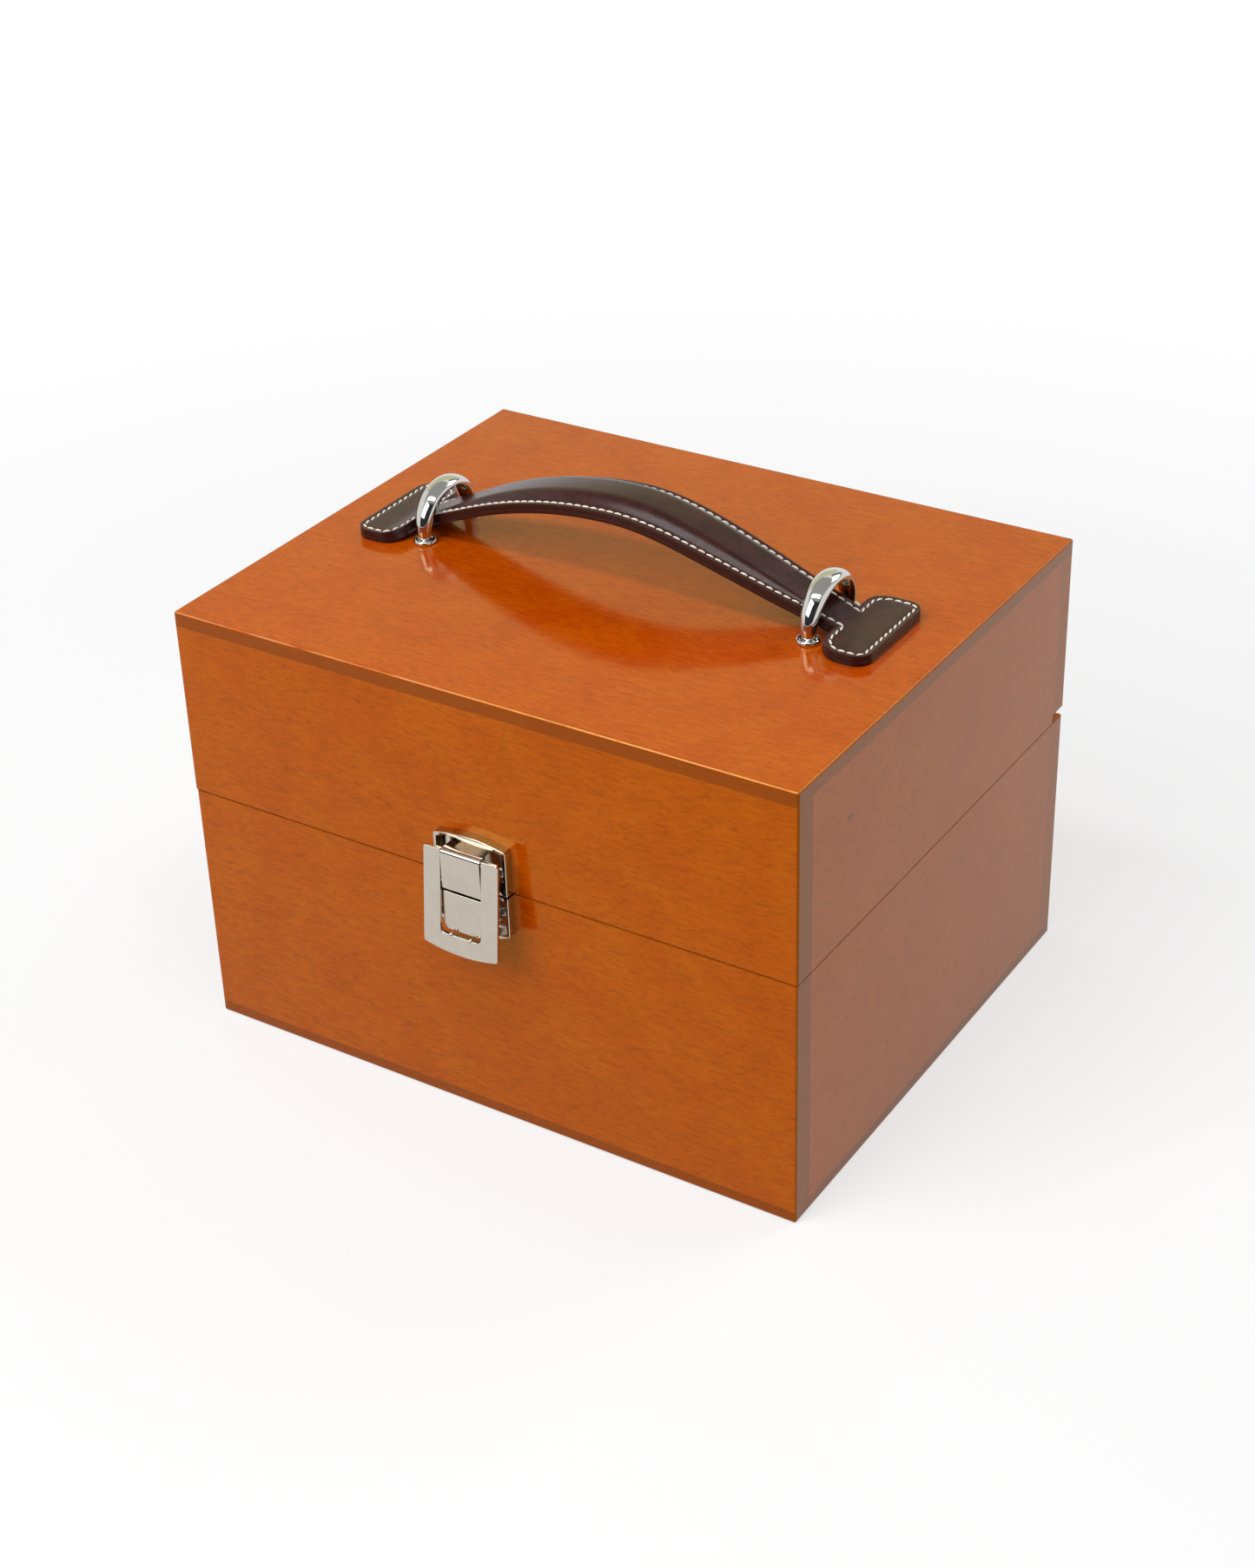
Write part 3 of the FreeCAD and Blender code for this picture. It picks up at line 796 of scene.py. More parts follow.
@dataclass
class FloorLining:
    """The felt that lies on the floor of the base."""

    columns: int = 60
    rows: int = 48
    waviness: float = 0.25 * MM
    wave_scale: float = 40.0
    edge_round: float = 0.4 * MM

    def build(self) -> None:
        """Models the felt as a slightly uneven sheet."""
        low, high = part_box("floor_lining")
        size = high - low
        middle = (low + high) / 2
        piece = primitive("felt_lining", bpy.ops.mesh.primitive_grid_add, (size.x, size.y, 1), size=1,
                          x_subdivisions=self.columns, y_subdivisions=self.rows,
                          location=(middle.x, middle.y, low.z))
        half_way = low.z + size.z / 2
        with shaping(piece):
            extrude_up(size.z - self.waviness)
            tidy_normals()
            pick_edges(piece, lambda edge: edge.calc_face_angle(0) > CREASE
                       and edge.verts[0].co.z > half_way)
            bpy.ops.mesh.bevel(offset=self.edge_round, segments=2, affect="EDGES")
        for vertex in piece.data.vertices:
            if vertex.co.z > half_way:
                vertex.co.z += self.waviness * noise.noise(vertex.co * self.wave_scale)
        soften(piece)
        seat(piece, "base", "felt", Felt("brown_felt"), "floor_lining")


@dataclass
class Fasteners:
    """The cross-recessed screws of the hasp, the hinges and the handle loops.

    A recess is given as its length, width and depth.
    """

    finish: Finish
    sides: int = 28
    tip_radius: float = 0.2 * MM
    tip_length: float = 1.5 * MM
    hasp_head: float = 2.1 * MM
    hasp_dome: float = 1.4 * MM
    hasp_shank: float = 1.2 * MM
    hasp_recess: Triple = (2.4 * MM, 0.55 * MM, 0.9 * MM)
    hinge_head: float = 2.3 * MM
    hinge_shank: float = 1.3 * MM
    hinge_pitch: float = 26.0 * MM
    hinge_recess: Triple = (2.6 * MM, 0.6 * MM, 0.8 * MM)
    loop_head: float = 2.9 * MM
    loop_head_height: float = 2.2 * MM
    loop_shank: float = 1.45 * MM
    loop_recess: Triple = (3.0 * MM, 0.7 * MM, 1.1 * MM)

    def build(self) -> None:
        """Models all the screws."""
        self.hasp_screws("catch_plate_screws", "base")
        self.hasp_screws("hasp_plate_screws", "lid")
        self.hinge_screws("hinge_base_screws", "base", 1)
        self.hinge_screws("hinge_lid_screws", "lid", -1)
        self.loop_screws()

    def screw(self, name: str, rings: Sequence[Pair], recess: Triple) -> Piece:
        """Turns a screw with its head up, and cuts its recess.

        Args:
            name: The name of the screw.
            rings: Radius and height of each ring of its profile, from its tip to its top.
            recess: The recess.

        Returns:
            The screw.
        """
        piece = turned(name, rings, self.sides)
        length, width, depth = recess
        for size in ((length, width), (width, length)):
            bar = primitive("recess_bar", bpy.ops.mesh.primitive_cube_add, (*size, 2 * depth), size=1,
                            location=(0, 0, rings[-1][1]))
            cut = piece.modifiers.new("recess", "BOOLEAN")
            cut.object = bar
            cut.operation = "DIFFERENCE"
            only(piece)
            bpy.ops.object.modifier_apply(modifier=cut.name)
            bpy.data.objects.remove(bar)
        soften(piece, 40)
        return piece

    def fit(self, node: str, body: str, rings: Sequence[Pair], recess: Triple,
            places: Sequence[Matrix]) -> None:
        """Makes a screw and drives a copy in at each of its places.

        Args:
            node: The node that the screws stand for.
            body: The body that they move with.
            rings: Radius and height of each ring of the profile, from the tip to the top.
            recess: The recess.
            places: A matrix for each screw.
        """
        name = node + "_crossed"
        screws = spread(name, self.screw(name, rings, recess), places)
        seat(screws, body, "screw_metal", self.finish, node)

    def point(self, shank: float, length: float) -> list[Pair]:
        """The rings of a screw's point, from its tip to its full thickness."""
        return [(self.tip_radius, -length), (shank, -length + self.tip_length)]

    def hasp_screws(self, node: str, body: str) -> None:
        """Round-head screws that face the front.

        Args:
            node: The node that they stand for.
            body: The body that they move with.
        """
        low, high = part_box(node)
        radius, dome, shank = self.hasp_head, self.hasp_dome, self.hasp_shank
        length = high.y - low.y - dome
        arc = [math.radians(angle) for angle in (12, 30, 48, 66, 82)]
        head = [(radius * math.cos(angle), dome * math.sin(angle)) for angle in arc]
        rings = [*self.point(shank, length), (shank, 0), (radius, 0), *head]
        row = (low.z + high.z) / 2
        places = [placed((side * (high.x - radius), low.y + dome, row), tilt=90, twist=20 + 50 * side)
                  for side in (-1, 1)]
        self.fit(node, body, rings, self.hasp_recess, places)

    def hinge_screws(self, node: str, body: str, sign: int) -> None:
        """Countersunk screws of one half of the hinges.

        Args:
            node: The node that they stand for.
            body: The body that they move with.
            sign: 1 where the heads face up, and -1 where they face down.
        """
        low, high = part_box(node)
        head, shank = self.hinge_head, self.hinge_shank
        rings = [*self.point(shank, high.z - low.z), (shank, -1.0 * MM),
                 (head - 0.1 * MM, -0.1 * MM), (head - 0.15 * MM, 0)]
        outer = high.x - head
        row = (low.y + high.y) / 2
        face, tilt = (high.z, 0) if sign > 0 else (low.z, 180)
        places = [placed((side * (outer - step), row, face), tilt, twist=25 + 40 * side + 900 * step)
                  for side in (-1, 1) for step in (0, self.hinge_pitch)]
        self.fit(node, body, rings, self.hinge_recess, places)

    def loop_screws(self) -> None:
        """Screws under the lid's panel, which hold the handle loops."""
        node = "handle_loop_screws"
        low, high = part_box(node)
        head, shank, height = self.loop_head, self.loop_shank, self.loop_head_height
        length = high.z - low.z - height
        rings = [(shank - 0.4 * MM, -length), (shank, -length + 0.5 * MM), (shank, 0), (head, 0),
                 (head, height * 0.45), (head - 0.35 * MM, height * 0.8), (head - 0.9 * MM, height)]
        reach, row, face = high.x - head, high.y - head, low.z + height
        places = [placed((side * reach, end * row, face), tilt=180, twist=30 * side + 17 * end)
                  for side in (-1, 1) for end in (-1, 1)]
        self.fit(node, "lid", rings, self.loop_recess, places)


@dataclass
class HandleLoop:
    """A chrome loop: legs that thicken above their collars, and an arch that widens to its crown."""

    finish: Finish
    foot_radius: float = 2.3 * MM
    leg_radius: float = 3.0 * MM
    crown_half_width: float = 4.6 * MM
    crown_outer: float = 2.7 * MM
    crown_inner: float = 1.8 * MM
    leg_height: float = 4.1 * MM
    foot_gap: float = 0.2 * MM
    collar_radius: float = 4.5 * MM
    collar_height: float = 1.8 * MM
    sides: int = 32
    steps: int = 48

    def build(self, node: str) -> None:
        """Models one loop.

        Args:
            node: The node that it stands for.
        """
        low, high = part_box(node)
        middle = Vector(((low.x + high.x) / 2, 0, low.z))
        midline = high.y - self.collar_radius
        arch = primitive(node + "_arch", bpy.ops.mesh.primitive_circle_add, vertices=self.sides,
                         radius=self.leg_radius, fill_type="NOTHING",
                         location=(middle.x, -midline, middle.z + self.foot_gap))
        spring = middle + Vector((0, 0, self.leg_height))
        leg = self.leg_height - self.foot_gap
        with shaping(arch):
            extrude_up(leg)
            bpy.ops.mesh.spin(steps=self.steps, angle=math.pi, center=spring, axis=(1, 0, 0))
            extrude_up(-leg)
            bpy.ops.mesh.select_all(action="SELECT")
            bpy.ops.mesh.fill_holes(sides=self.sides)
            tidy_normals()
        self.taper(arch, spring, midline, high.z - self.crown_outer - spring.z)
        soften(arch, 60)
        collars = [self.collar(Vector((middle.x, side * midline, middle.z))) for side in (-1, 1)]
        seat(joined(node + "_polished", [arch, *collars]), "lid", "chrome", self.finish, node)

    def taper(self, arch: Piece, spring: Vector, midline: float, rise: float) -> None:
        """Thins the legs to their feet, and gives the arch its height and its broad section.

        Args:
            arch: The arch, half a ring with a round section.
            spring: The centre of the arch.
            midline: Radius of the ring, which is half the distance between the legs.
            rise: Height of the crown's midline above that centre.
        """
        for vertex in arch.data.vertices:
            offset = vertex.co - spring
            if offset.z <= 0:
                axis = Vector((0, math.copysign(midline, offset.y), offset.z))
                share = 1 + offset.z / self.leg_height * (1 - self.foot_radius / self.leg_radius)
                vertex.co = spring + axis + (offset - axis) * share
                continue
            spoke = Vector((0, offset.y, offset.z))
            out = spoke.normalized()
            across = offset.x / self.leg_radius
            depth = (spoke.length - midline) / self.leg_radius
            reach = self.crown_outer if depth > 0 else self.crown_inner
            width = self.leg_radius + out.z * (self.crown_half_width - self.leg_radius)
            height = self.leg_radius + out.z * (reach - self.leg_radius)
            centre = Vector((0, out.y * midline, out.z * rise))
            vertex.co = spring + centre + Vector((across * width, 0, 0)) + out * (depth * height)

    def collar(self, foot: Vector) -> Piece:
        """The rounded ring at the foot of a leg.

        Args:
            foot: Where the leg meets the lid.

        Returns:
            The ring.
        """
        radius, height = self.collar_radius, self.collar_height
        rings = [(radius - 0.3 * MM, 0), (radius, 0.3 * MM), (radius, height - 0.7 * MM),
                 (radius - 0.2 * MM, height - 0.25 * MM), (radius - 0.65 * MM, height),
                 (radius - 1.2 * MM, height - 0.1 * MM), (radius - 1.6 * MM, height - 0.55 * MM),
                 (self.foot_radius, height - 0.6 * MM)]
        ring = turned("collar", rings, self.sides)
        ring.data.transform(Matrix.Translation(foot))
        soften(ring, 50)
        return ring


@dataclass
class HandleArc:
    """Side view of the handle's underside: a crown, flanks, bends and flat ends, with some slack."""

    floor: float
    slope: float = math.radians(23.1)
    crown_radius: float = 160.0 * MM
    bend_radius: float = 25.0 * MM
    bend_start: float = 101.08 * MM
    left_slack: float = 0.4 * MM
    right_slack: float = 3.4 * MM

    def at(self, x: float) -> tuple[Vector, Vector]:
        """A point of the underside, and the way up from it.

        Args:
            x: Its place along the case.

        Returns:
            The point and the unit vector.
        """
        side = math.copysign(1, x)
        reach = abs(x)
        bend_x = self.bend_start - self.bend_radius * math.sin(self.slope)
        bend_z = self.floor + self.bend_radius * (1 - math.cos(self.slope))
        crown_x = self.crown_radius * math.sin(self.slope)
        crown_z = bend_z + (bend_x - crown_x) * math.tan(self.slope)
        if reach >= self.bend_start:
            turn, z = 0.0, self.floor
        elif reach >= bend_x:
            turn = math.asin((self.bend_start - reach) / self.bend_radius)
            z = self.floor + self.bend_radius * (1 - math.cos(turn))
        elif reach >= crown_x:
            turn, z = self.slope, crown_z - (reach - crown_x) * math.tan(self.slope)
        else:
            turn = math.asin(reach / self.crown_radius)
            z = crown_z + self.crown_radius * (math.cos(turn) - math.cos(self.slope))
        slack = self.right_slack if x > 0 else self.left_slack
        share = math.pi * min(1.0, reach / self.bend_start)
        z -= slack * math.sin(share) ** 2
        turn = math.atan(math.tan(turn) + slack * math.pi / self.bend_start * math.sin(2 * share))
        return Vector((x, 0, z)), Vector((side * math.sin(turn), 0, math.cos(turn)))


@dataclass
class HandlePlan:
    """The handle seen from above: a grip that narrows to its necks, with a crossbar at each end."""

    half_length: float
    bar: float
    grip: float = 14.7 * MM
    neck: float = 8.7 * MM
    neck_end: float = 91.2 * MM
    inner_round: float = 9.5 * MM
    outer_round: float = 6.5 * MM
    dome_margin: float = 3.1 * MM
    stitch_corner: float = 3.2 * MM
    margins_mm: Sequence[float] = (0.0, 0.4, 0.8, 1.2, 1.6, 1.9, 2.2, 2.5, 2.8)
    dome_shares: Sequence[float] = (1.0, 0.96, 0.92, 0.88, 0.84, 0.8, 0.77, 0.74, 0.71, 0.68, 0.64, 0.58,
                                    0.5, 0.4, 0.3, 0.2, 0.1)
    wing_rows: int = 18
    round_steps: int = 12
    half_steps: int = 65
    bar_steps: int = 8
    run_steps: int = 100

    def grip_width(self, x: float) -> float:
        """Half the width of the grip and of its necks."""
        return self.grip - (self.grip - self.neck) * min(1, abs(x) / self.neck_end) ** 2

    def bar_width(self, x: float) -> float:
        """Half the width of a crossbar, with its rounded corners.

        Args:
            x: Place along the handle.

        Returns:
            The width.
        """
        reach = abs(x)
        inner = max(0, self.neck_end + self.inner_round - reach)
        outer = max(0, reach - self.half_length + self.outer_round)
        dip = self.inner_round - math.sqrt(max(0, self.inner_round ** 2 - inner ** 2))
        dip += self.outer_round - math.sqrt(max(0, self.outer_round ** 2 - outer ** 2))
        return self.bar - dip

    def rim(self, x: float, y: float) -> float:
        """Distance in from the outline, with square corners at the notches.

        Args:
            x: Place along the handle.
            y: Place across it.

        Returns:
            The distance.
        """
        along, across = abs(x), abs(y)
        if along < self.neck_end:
            return self.grip_width(x) - across
        inner = Vector((along - self.neck_end - self.inner_round, across - self.bar + self.inner_round))
        outer = Vector((along - self.half_length + self.outer_round, across - self.bar + self.outer_round))
        if inner.x < 0 < inner.y:
            return self.inner_round - inner.length
        if outer.x > 0 and outer.y > 0:
            return self.outer_round - outer.length
        notch = max(along - self.neck_end, self.neck - across)
        return min(self.bar - across, self.half_length - along, notch)

    def quarter_turn(self) -> list[float]:
        """Angles of the steps round a corner."""
        return [math.pi / 2 * k / self.round_steps for k in range(self.round_steps + 1)]

    def stations(self) -> list[float]:
        """Places along the handle where its mesh has a column.

        Returns:
            The places, from left to right.
        """
        half = [self.neck_end * k / self.half_steps for k in range(1, self.half_steps)]
        turns = self.quarter_turn()
        half += [self.neck_end + self.inner_round * (1 - math.cos(turn)) for turn in turns]
        start, end = half[-1], self.half_length - self.outer_round
        half += [start + (end - start) * k / self.bar_steps for k in range(1, self.bar_steps)]
        half += [end + self.outer_round * math.sin(turn) for turn in turns]
        return [-x for x in reversed(half)] + [0.0] + half

    def across(self, x: float) -> list[float]:
        """Places across the handle where its mesh has a row, at one column.

        Args:
            x: The column's place along the handle.

        Returns:
            The places, from front to back.
        """
        width = self.grip_width(x)
        wing = self.bar_width(max(abs(x), self.neck_end))
        half = [share * (width - self.dome_margin) for share in reversed(self.dome_shares)]
        half += [width - margin * MM for margin in reversed(self.margins_mm)]
        half += [width + (wing - width) * k / self.wing_rows for k in range(1, self.wing_rows + 1)]
        return [-y for y in reversed(half)] + [0.0] + half

    def stitch_runs(self, inset: float) -> list[list[Pair]]:
        """The lines of stitching, each from one notch to the next.

        Args:
            inset: Distance in from the outline.

        Returns:
            Points of each line in plan.
        """
        turns = self.quarter_turn()
        corner = self.neck_end + inset
        neck_line = [corner * k / self.run_steps for k in range(-self.run_steps, self.run_steps + 1)]
        inner, outer = self.inner_round - inset, self.stitch_corner
        start = self.bar - self.inner_round
        end, side = self.half_length - inset - outer, self.bar - inset - outer
        half = [(corner, self.neck - inset)]
        half += [(corner + inner * (1 - math.cos(turn)), start + inner * math.sin(turn)) for turn in turns]
        half += [(end + outer * math.sin(turn), side + outer * math.cos(turn)) for turn in turns]
        bar_line = half + [(x, -y) for x, y in reversed(half)]
        sides = [[(x, side * (self.grip_width(x) - inset)) for x in neck_line] for side in (-1, 1)]
        return sides + [[(side * x, y) for x, y in bar_line] for side in (-1, 1)]


@dataclass
class LeatherHandle:
    """Two layers of leather, a padded grip and saddle stitching."""

    arc: HandleArc
    plan: HandlePlan
    leather: SmoothLeather
    thread: WaxedThread
    layer: float = 2.0 * MM
    seam: float = 0.1 * MM
    rim_round: float = 0.55 * MM
    dome_rise: float = 3.7 * MM
    crown_fall: float = 0.14
    flank_slope: float = math.tan(math.radians(39))
    dome_reach: float = 86.0 * MM
    dome_power: float = 0.85
    least_dome: float = 0.001  # above 0, because soft_least divides by the blends
    crown_blend: float = 0.45
    foot_blend: float = 0.12
    stitch_inset: float = 2.2 * MM
    stitch_pitch: float = 3.6 * MM
    stitch_length: float = 3.05 * MM
    stitch_radius: float = 0.42 * MM
    stitch_slant: float = math.radians(5)
    bar_slant: float = math.radians(14)
    stitch_taper: float = 0.2
    stitch_dip: float = 0.9
    stitch_sink: float = 0.25
    groove: float = 0.28 * MM
    groove_width: float = 0.55 * MM
    level_limit: float = 0.05 * MM

    @classmethod
    def from_frame(cls, leather: SmoothLeather, thread: WaxedThread) -> "LeatherHandle":
        """Takes the handle's place and length from the lower layer."""
        low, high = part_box("handle_lower_leather")
        return cls(HandleArc(low.z), HandlePlan(high.x, high.y), leather, thread)

    def build(self) -> None:
        """Models the layers and sews them."""
        upper = self.layer_piece("padded_upper_leather", self.layer, 2 * self.layer, True)
        seat(upper, "handle", "leather", self.leather, "handle_upper_leather", "handle_core")
        lower = self.layer_piece("sewn_lower_leather", 0, self.layer - self.seam, False)
        seat(lower, "handle", "leather", self.leather, "handle_lower_leather")
        for name, lift, side in (("saddle_stitching", 2 * self.layer, 1), ("underside_stitching", 0, -1)):
            seat(self.stitching(name, lift, side), "handle", "thread", self.thread)

    def dome(self, x: float, y: float) -> float:
        """Height of the padding above the flat leather.

        Args:
            x: Place along the handle.
            y: Place across it.

        Returns:
            The height.
        """
        share = max(self.least_dome, 1 - (x / self.dome_reach) ** 2)
        rise = self.dome_rise * share ** self.dome_power
        half = self.plan.grip_width(x) - self.plan.dome_margin
        crown = rise * (1 - self.crown_fall * (y / half) ** 2)
        flank = (half - abs(y)) * self.flank_slope
        shoulder = soft_least(crown, flank, self.crown_blend * rise)
        return max(0, soft_least(shoulder, 0, -self.foot_blend * rise))

    def layer_piece(self, name: str, low: float, high: float, upper: bool) -> Piece:
        """Cuts one layer flat, rounds its rim and lays it along the arc.

        Args:
            name: The name of the piece.
            low: Height of its lower face above the handle's underside.
            high: Height of its upper face.
            upper: Whether it is the upper layer, which goes over the padding.

        Returns:
            The piece.
        """
        piece = self.flat_layer(name, low)

        def on_rim(edge: bmesh.types.BMEdge) -> bool:
            """Whether an edge is level and lies on the rim of a face."""
            level = abs(edge.verts[0].co.z - edge.verts[1].co.z) < self.level_limit
            return level and edge.calc_face_angle(0) > CREASE

        with shaping(piece):
            extrude_up(high - low)
            tidy_normals()
            pick_edges(piece, on_rim)
            bpy.ops.mesh.bevel(offset=self.rim_round, segments=3, affect="EDGES", clamp_overlap=True)
        rims = []
        for vertex in piece.data.vertices:
            x, y, z = vertex.co
            rim = max(0, self.plan.rim(x, y))
            rims.append(rim / MM)
            share = (z - low) / (high - low)
            line = math.exp(-((rim - self.stitch_inset) / self.groove_width) ** 2) * self.groove
            if upper:
                z += share * self.dome(x, y) - share ** 4 * line
            else:
                z += (1 - share) ** 4 * line
            base, up = self.arc.at(x)
            vertex.co = base + up * z + Vector((0, y, 0))
        marks = piece.data.attributes.new(RIM, "FLOAT", "POINT")
        marks.data.foreach_set("value", rims)
        soften(piece, 60)
        return piece

    def flat_layer(self, name: str, height: float) -> Piece:
        """The outline of the handle as a flat grid.

        Args:
            name: The name of the piece.
            height: Its height.

        Returns:
            The piece.
        """
        stations = self.plan.stations()
        columns, rows = len(stations), len(self.plan.across(0))
        piece = primitive(name, bpy.ops.mesh.primitive_grid_add, x_subdivisions=columns - 1,
                          y_subdivisions=rows - 1, size=2)
        wing = self.plan.wing_rows
        lines = [self.plan.across(x) for x in stations]
        lifted = 1.0  # far above the layer, so that the faces beside the necks can be picked there
        for vertex in piece.data.vertices:
            column = round((vertex.co.x + 1) / 2 * (columns - 1))
            row = round((vertex.co.y + 1) / 2 * (rows - 1))
            beside_neck = abs(stations[column]) < self.plan.neck_end and not wing <= row < rows - wing
            vertex.co = (stations[column], lines[column][row], height + (lifted if beside_neck else 0.0))
        with shaping(piece):
            pick_faces(piece, lambda face: any(vertex.co.z > height + lifted / 2 for vertex in face.verts))
            bpy.ops.mesh.delete(type="FACE")
        return piece

    def stitch(self) -> Piece:
        """One stitch along X: a short capsule whose ends dip into the leather.

        Returns:
            The stitch.
        """
        piece = primitive("stitch", bpy.ops.mesh.primitive_uv_sphere_add, segments=8, ring_count=6,
                          radius=self.stitch_radius, rotation=(0, math.radians(90), 0))
        half = self.stitch_length / 2 - self.stitch_radius
        for vertex in piece.data.vertices:
            if abs(vertex.co.x) > MERGE:
                vertex.co.x += math.copysign(half, vertex.co.x)
            end = (2 * vertex.co.x / self.stitch_length) ** 2
            share = 1 - self.stitch_taper * end
            vertex.co.y *= share
            vertex.co.z = vertex.co.z * share - self.stitch_dip * self.stitch_radius * end ** 2
        only(piece)
        bpy.ops.object.shade_smooth()
        return piece

    def stitching(self, name: str, lift: float, side: int) -> Piece:
        """Sews all the lines of one face.

        Args:
            name: The name of the piece.
            lift: Height of the face above the handle's underside.
            side: 1 for the upper face, and -1 for the lower one.

        Returns:
            The thread.
        """
        height = lift - side * self.stitch_sink * self.groove
        places = []
        for run in self.plan.stitch_runs(self.stitch_inset):
            points = []
            for x, y in run:
                base, up = self.arc.at(x)
                points.append(base + up * height + Vector((0, y, 0)))
            lengths = [(b - a).length for a, b in zip(points, points[1:])]
            count = round(sum(lengths) / self.stitch_pitch)
            for k in range(count):
                place, along = self.walk(points, lengths, (k + 0.5) / count * sum(lengths))
                up = self.arc.at(place.x)[1] * side
                across = up.cross(along).normalized()
                turn = Matrix((along, across, up)).transposed().to_4x4()
                lean = self.stitch_slant + (self.bar_slant - self.stitch_slant) * abs(along.y)
                places.append(Matrix.Translation(place) @ turn @ Matrix.Rotation(lean, 4, "Z"))
        return spread(name, self.stitch(), places)

    @staticmethod
    def walk(points: Sequence[Vector], lengths: Sequence[float], distance: float) -> tuple[Vector, Vector]:
        """Finds a place on a line of points.

        Args:
            points: The points.
            lengths: The distance from each to the next.
            distance: The distance from the first.

        Returns:
            The place, and the way that the line runs there.
        """
        for start, end, length in zip(points, points[1:], lengths):
            if distance <= length:
                break
            distance -= length
        along = (end - start).normalized()
        return start + along * distance, along


@dataclass
class Metalwork:
    """The hasp, the hinges and the washers, which keep their modelled shapes, and the pips of the flap."""

    nickel: Finish
    steel: Finish
    pip_radius: float = 1.05 * MM
    pip_spacing: float = 8.6 * MM
    pip_reach: float = 1.2 * MM
    pip_drop: float = 32.6 * MM
    pip_sides: int = 20

    def build(self) -> None:
        """Models the two snap pips on the sill of the flap's window, below the flap's hinge."""
        hinge = next(joint for joint in frame["joints"] if joint["name"] == "latch_flap_hinge")
        angles = [math.radians(angle) for angle in range(-80, 81, 20)]
        rings = [(self.pip_radius * math.cos(angle), self.pip_radius * math.sin(angle)) for angle in angles]
        model = turned("pip", rings, self.pip_sides)
        soften(model, 60)
        flap = placed(hinge["pos_m"], hinge["range_deg"][0])
        spots = [(side * self.pip_spacing / 2, -self.pip_reach, -self.pip_drop) for side in (-1, 1)]
        pips = spread("snap_pips", model, [flap @ placed(spot, tilt=90) for spot in spots])
        seat(pips, "latch_flap", "nickel", self.nickel)

    def dress(self) -> None:
        """Gives each metal node its plating."""
        for node in ("catch_plate", "hasp_plate", "latch_flap", "flap_hinge_pin"):
            self.nickel.dress(frame["nodes"][node])
        for side in ("left", "right"):
            for part in ("base_leaf", "lid_leaf", "pin"):
                self.steel.dress(frame["nodes"]["hinge_%s_%s" % (side, part)])
        self.steel.dress(frame["nodes"]["handle_loop_washers"])


@dataclass
class SoftBox:
    """A studio lamp with a wide soft front."""

    name: str
    place: Triple
    width: float
    height: float
    power: float
    aim_height: float = 0.1

    def build(self) -> None:
        """Hangs the lamp and turns it to the case."""
        bpy.ops.object.light_add(type="AREA", location=self.place)
        lamp = bpy.context.object
        lamp.name = self.name
        lamp.data.shape = "RECTANGLE"
        lamp.data.size = self.width
        lamp.data.size_y = self.height
        lamp.data.energy = self.power
        aim = Vector((0, 0, self.aim_height)) - Vector(self.place)
        lamp.rotation_euler = aim.to_track_quat("-Z", "Y").to_euler()


@dataclass
class Card:
    """A coloured card beside the set, which shows only in what is glossy."""

    name: str
    place: Triple
    size: Pair
    colour: Colour
    aim_height: float = 0.15

    def build(self) -> None:
        """Stands the card up, facing the case."""
        aim = Vector((0, 0, self.aim_height)) - Vector(self.place)
        card = primitive(self.name, bpy.ops.mesh.primitive_plane_add, (*self.size, 1), size=1,
                         location=self.place, rotation=aim.to_track_quat("Z", "Y").to_euler())
        material, nodes = new_material(self.name)
        glow = nodes.add("ShaderNodeEmission", None, {"Color": self.colour})
        nodes.finish("ShaderNodeOutputMaterial", glow)
        card.data.materials.append(material)
        card.visible_camera = card.visible_diffuse = card.visible_shadow = card.visible_transmission = False


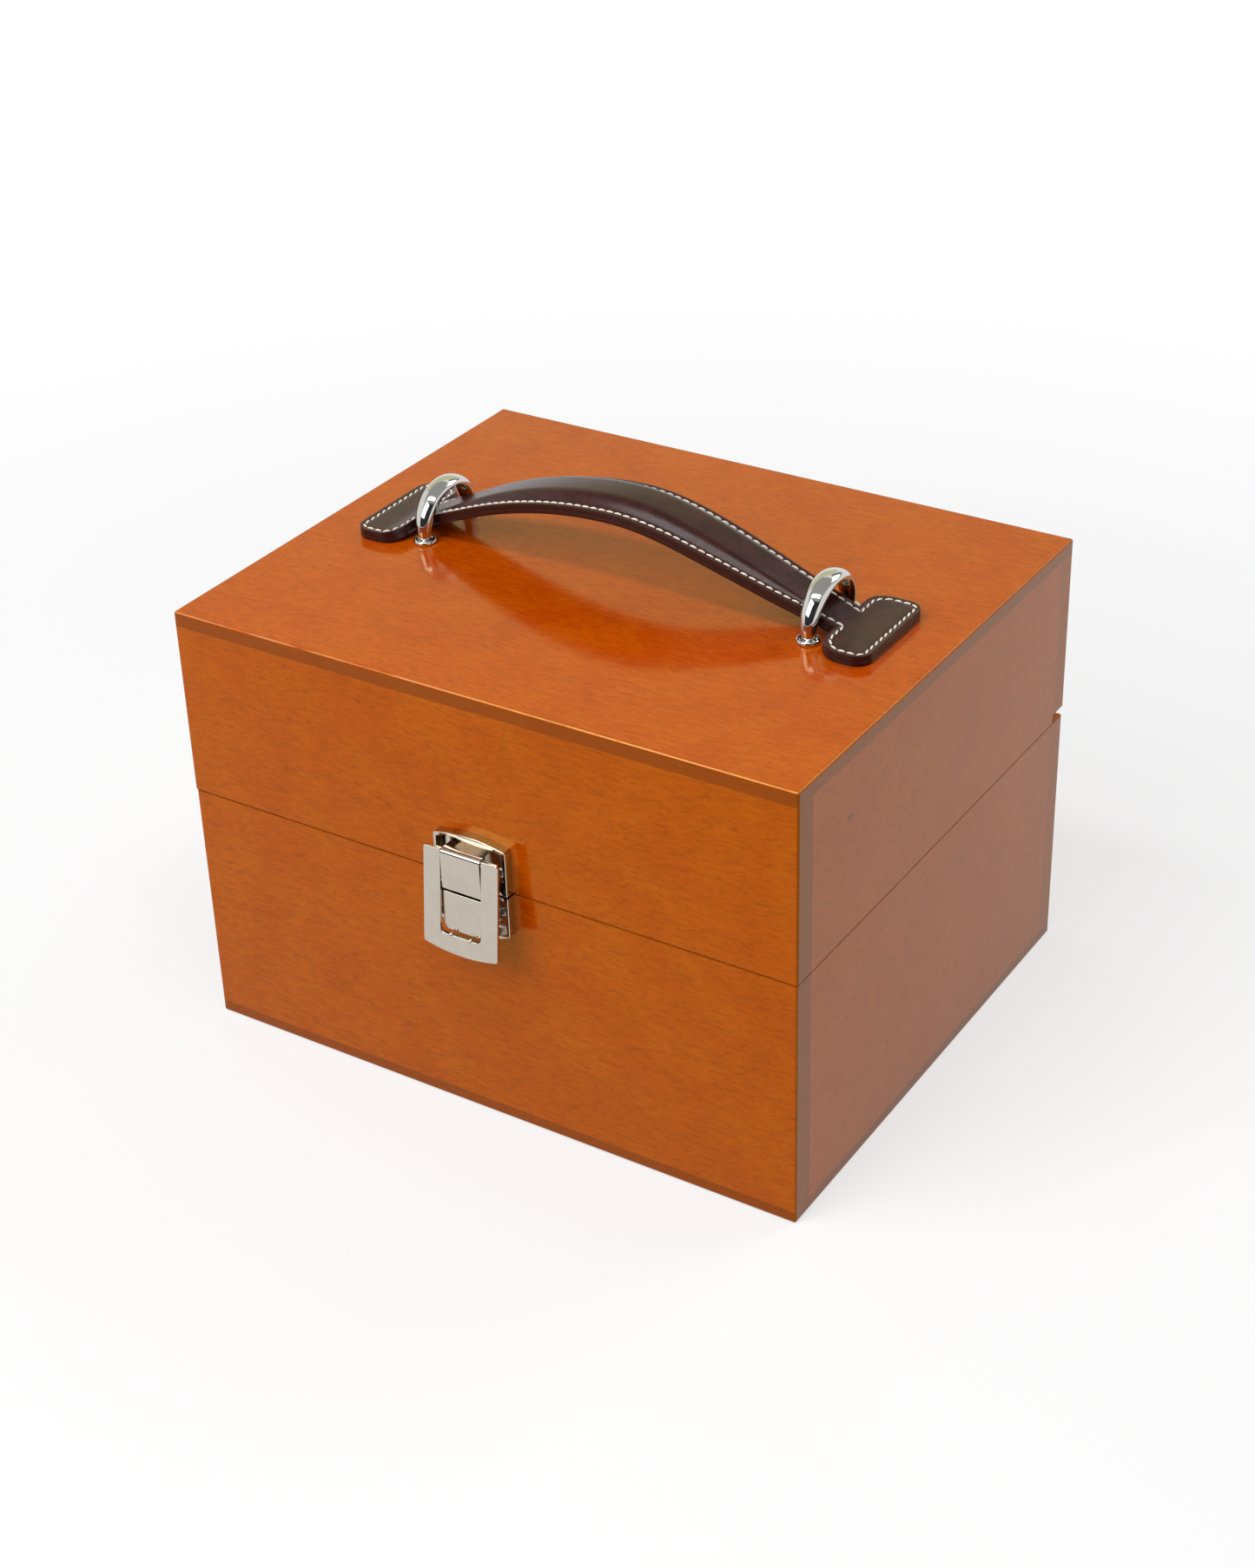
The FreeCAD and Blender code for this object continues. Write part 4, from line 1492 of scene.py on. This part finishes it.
@dataclass
class Studio:
    """The floor, the lamps, the white surroundings and the camera."""

    lamps: Sequence[SoftBox] = (
        SoftBox("key_lamp", (-0.5, -1.45, 1.3), 1.2, 1.2, 20.0),
        SoftBox("strip_lamp", (0.0, -0.5, 1.45), 1.5, 0.2, 8.5),
        SoftBox("back_lamp", (0.8, 1.5, 1.5), 1.0, 1.0, 11.0),
    )
    cards: Sequence[Card] = (
        Card("back_card", (-1.5, 1.61, 1.59), (3.1, 1.5), (0.75, 0.74, 0.48, 1.0)),
        Card("rear_card", (0.9, 2.05, 1.75), (2.4, 1.6), (0.3, 0.29, 0.27, 1.0)),
        Card("front_card", (0.35, -1.95, 1.35), (5.0, 3.2), (0.04, 0.04, 0.045, 1.0)),
        Card("ceiling_card", (0.0, 0.0, 2.1), (4.0, 2.6), (0.42, 0.42, 0.41, 1.0)),
    )
    ambient: float = 0.34
    floor_size: float = 8.0
    floor_drop: float = 0.2 * MM
    floor_shade: float = 0.9
    floor_glow: float = 0.6
    floor_bounce: float = 0.45
    fade_start: float = 0.35
    fade_end: float = 0.8
    azimuth: float = math.radians(33.036)
    elevation: float = math.radians(30.937)
    roll: float = math.radians(-1.804)
    eye: Triple = (0.494818, -0.767569, 0.636692)
    focal_length: float = 61.92

    def build(self) -> None:
        """Sets up the whole studio."""
        bpy.context.scene.view_settings.view_transform = "Standard"
        self.floor()
        self.surroundings()
        for equipment in (*self.lamps, *self.cards):
            equipment.build()
        self.camera()
        log.info("studio ready")

    def floor(self) -> None:
        """A pale floor that fades to white away from the case."""
        floor = primitive("studio_floor", bpy.ops.mesh.primitive_plane_add, size=self.floor_size,
                          location=(0, 0, -self.floor_drop))
        material, nodes = new_material("pale_floor")
        x, y, _ = nodes.split(nodes.place())
        squared = x * x + y * y
        distance = squared.math("SQRT", squared)
        shade, bounce = self.floor_shade, self.floor_bounce
        pale = nodes.add("ShaderNodeBsdfDiffuse", None, {"Color": (shade, shade, shade, 1)})
        white = nodes.add("ShaderNodeEmission", None, {"Color": (1, 1, 1, 1), "Strength": 1.0})
        fade = self.floor_glow + (1 - self.floor_glow) * distance.ramp(self.fade_start, self.fade_end)
        shown = nodes.add("ShaderNodeMixShader", None, {0: fade, 1: pale, 2: white})
        dim = nodes.add("ShaderNodeBsdfDiffuse", None, {"Color": (bounce, bounce, bounce, 1)})
        both = nodes.add("ShaderNodeMixShader", None, {0: nodes.seen(), 1: dim, 2: shown})
        nodes.finish("ShaderNodeOutputMaterial", both)
        floor.data.materials.append(material)

    def surroundings(self) -> None:
        """White to the camera and in reflections, and a dimmer light from all round on the case."""
        world = bpy.data.worlds.new("white_studio")
        world.use_nodes = True
        bpy.context.scene.world = world
        nodes = Nodes(world.node_tree)
        strength = self.ambient + (1 - self.ambient) * nodes.seen()
        sky = nodes.add("ShaderNodeBackground", None, {"Color": (1, 1, 1, 1), "Strength": strength})
        nodes.finish("ShaderNodeOutputWorld", sky)

    def camera(self) -> None:
        """Places the camera where the photograph was taken from."""
        back = Vector((math.sin(self.azimuth) * math.cos(self.elevation),
                       -math.cos(self.azimuth) * math.cos(self.elevation), math.sin(self.elevation)))
        right = Vector((math.cos(self.azimuth), math.sin(self.azimuth), 0))
        turn = Matrix((right, back.cross(right), back)).transposed() @ Matrix.Rotation(self.roll, 3, "Z")
        data = bpy.data.cameras.new("photo_camera")
        data.lens = self.focal_length
        camera = bpy.data.objects.new("photo_camera", data)
        camera.matrix_world = Matrix.Translation(self.eye) @ turn.to_4x4()
        bpy.context.scene.collection.objects.link(camera)
        bpy.context.scene.camera = camera


def main() -> None:
    """Dresses the case, models its soft and fine pieces and sets up the studio."""
    logging.basicConfig(level=logging.INFO, format="%(message)s")
    chrome = Metal("polished_chrome", srgb(208, 207, 203), roughness=0.05, smear=0.03)
    nickel = Metal("plated_nickel", srgb(196, 187, 175), roughness=0.07, smear=0.05)
    steel = Metal("plated_steel", srgb(184, 178, 168), roughness=0.28, smear=0.1)
    WoodenCase.from_frame().dress()
    metalwork = Metalwork(nickel, steel)
    metalwork.dress()
    metalwork.build()
    Fasteners(steel).build()
    FloorLining().build()
    for side in ("left", "right"):
        HandleLoop(chrome).build(side + "_handle_loop")
    LeatherHandle.from_frame(SmoothLeather("brown_leather"), WaxedThread("cream_thread")).build()
    Studio().build()


if __name__ == "__main__":
    main()
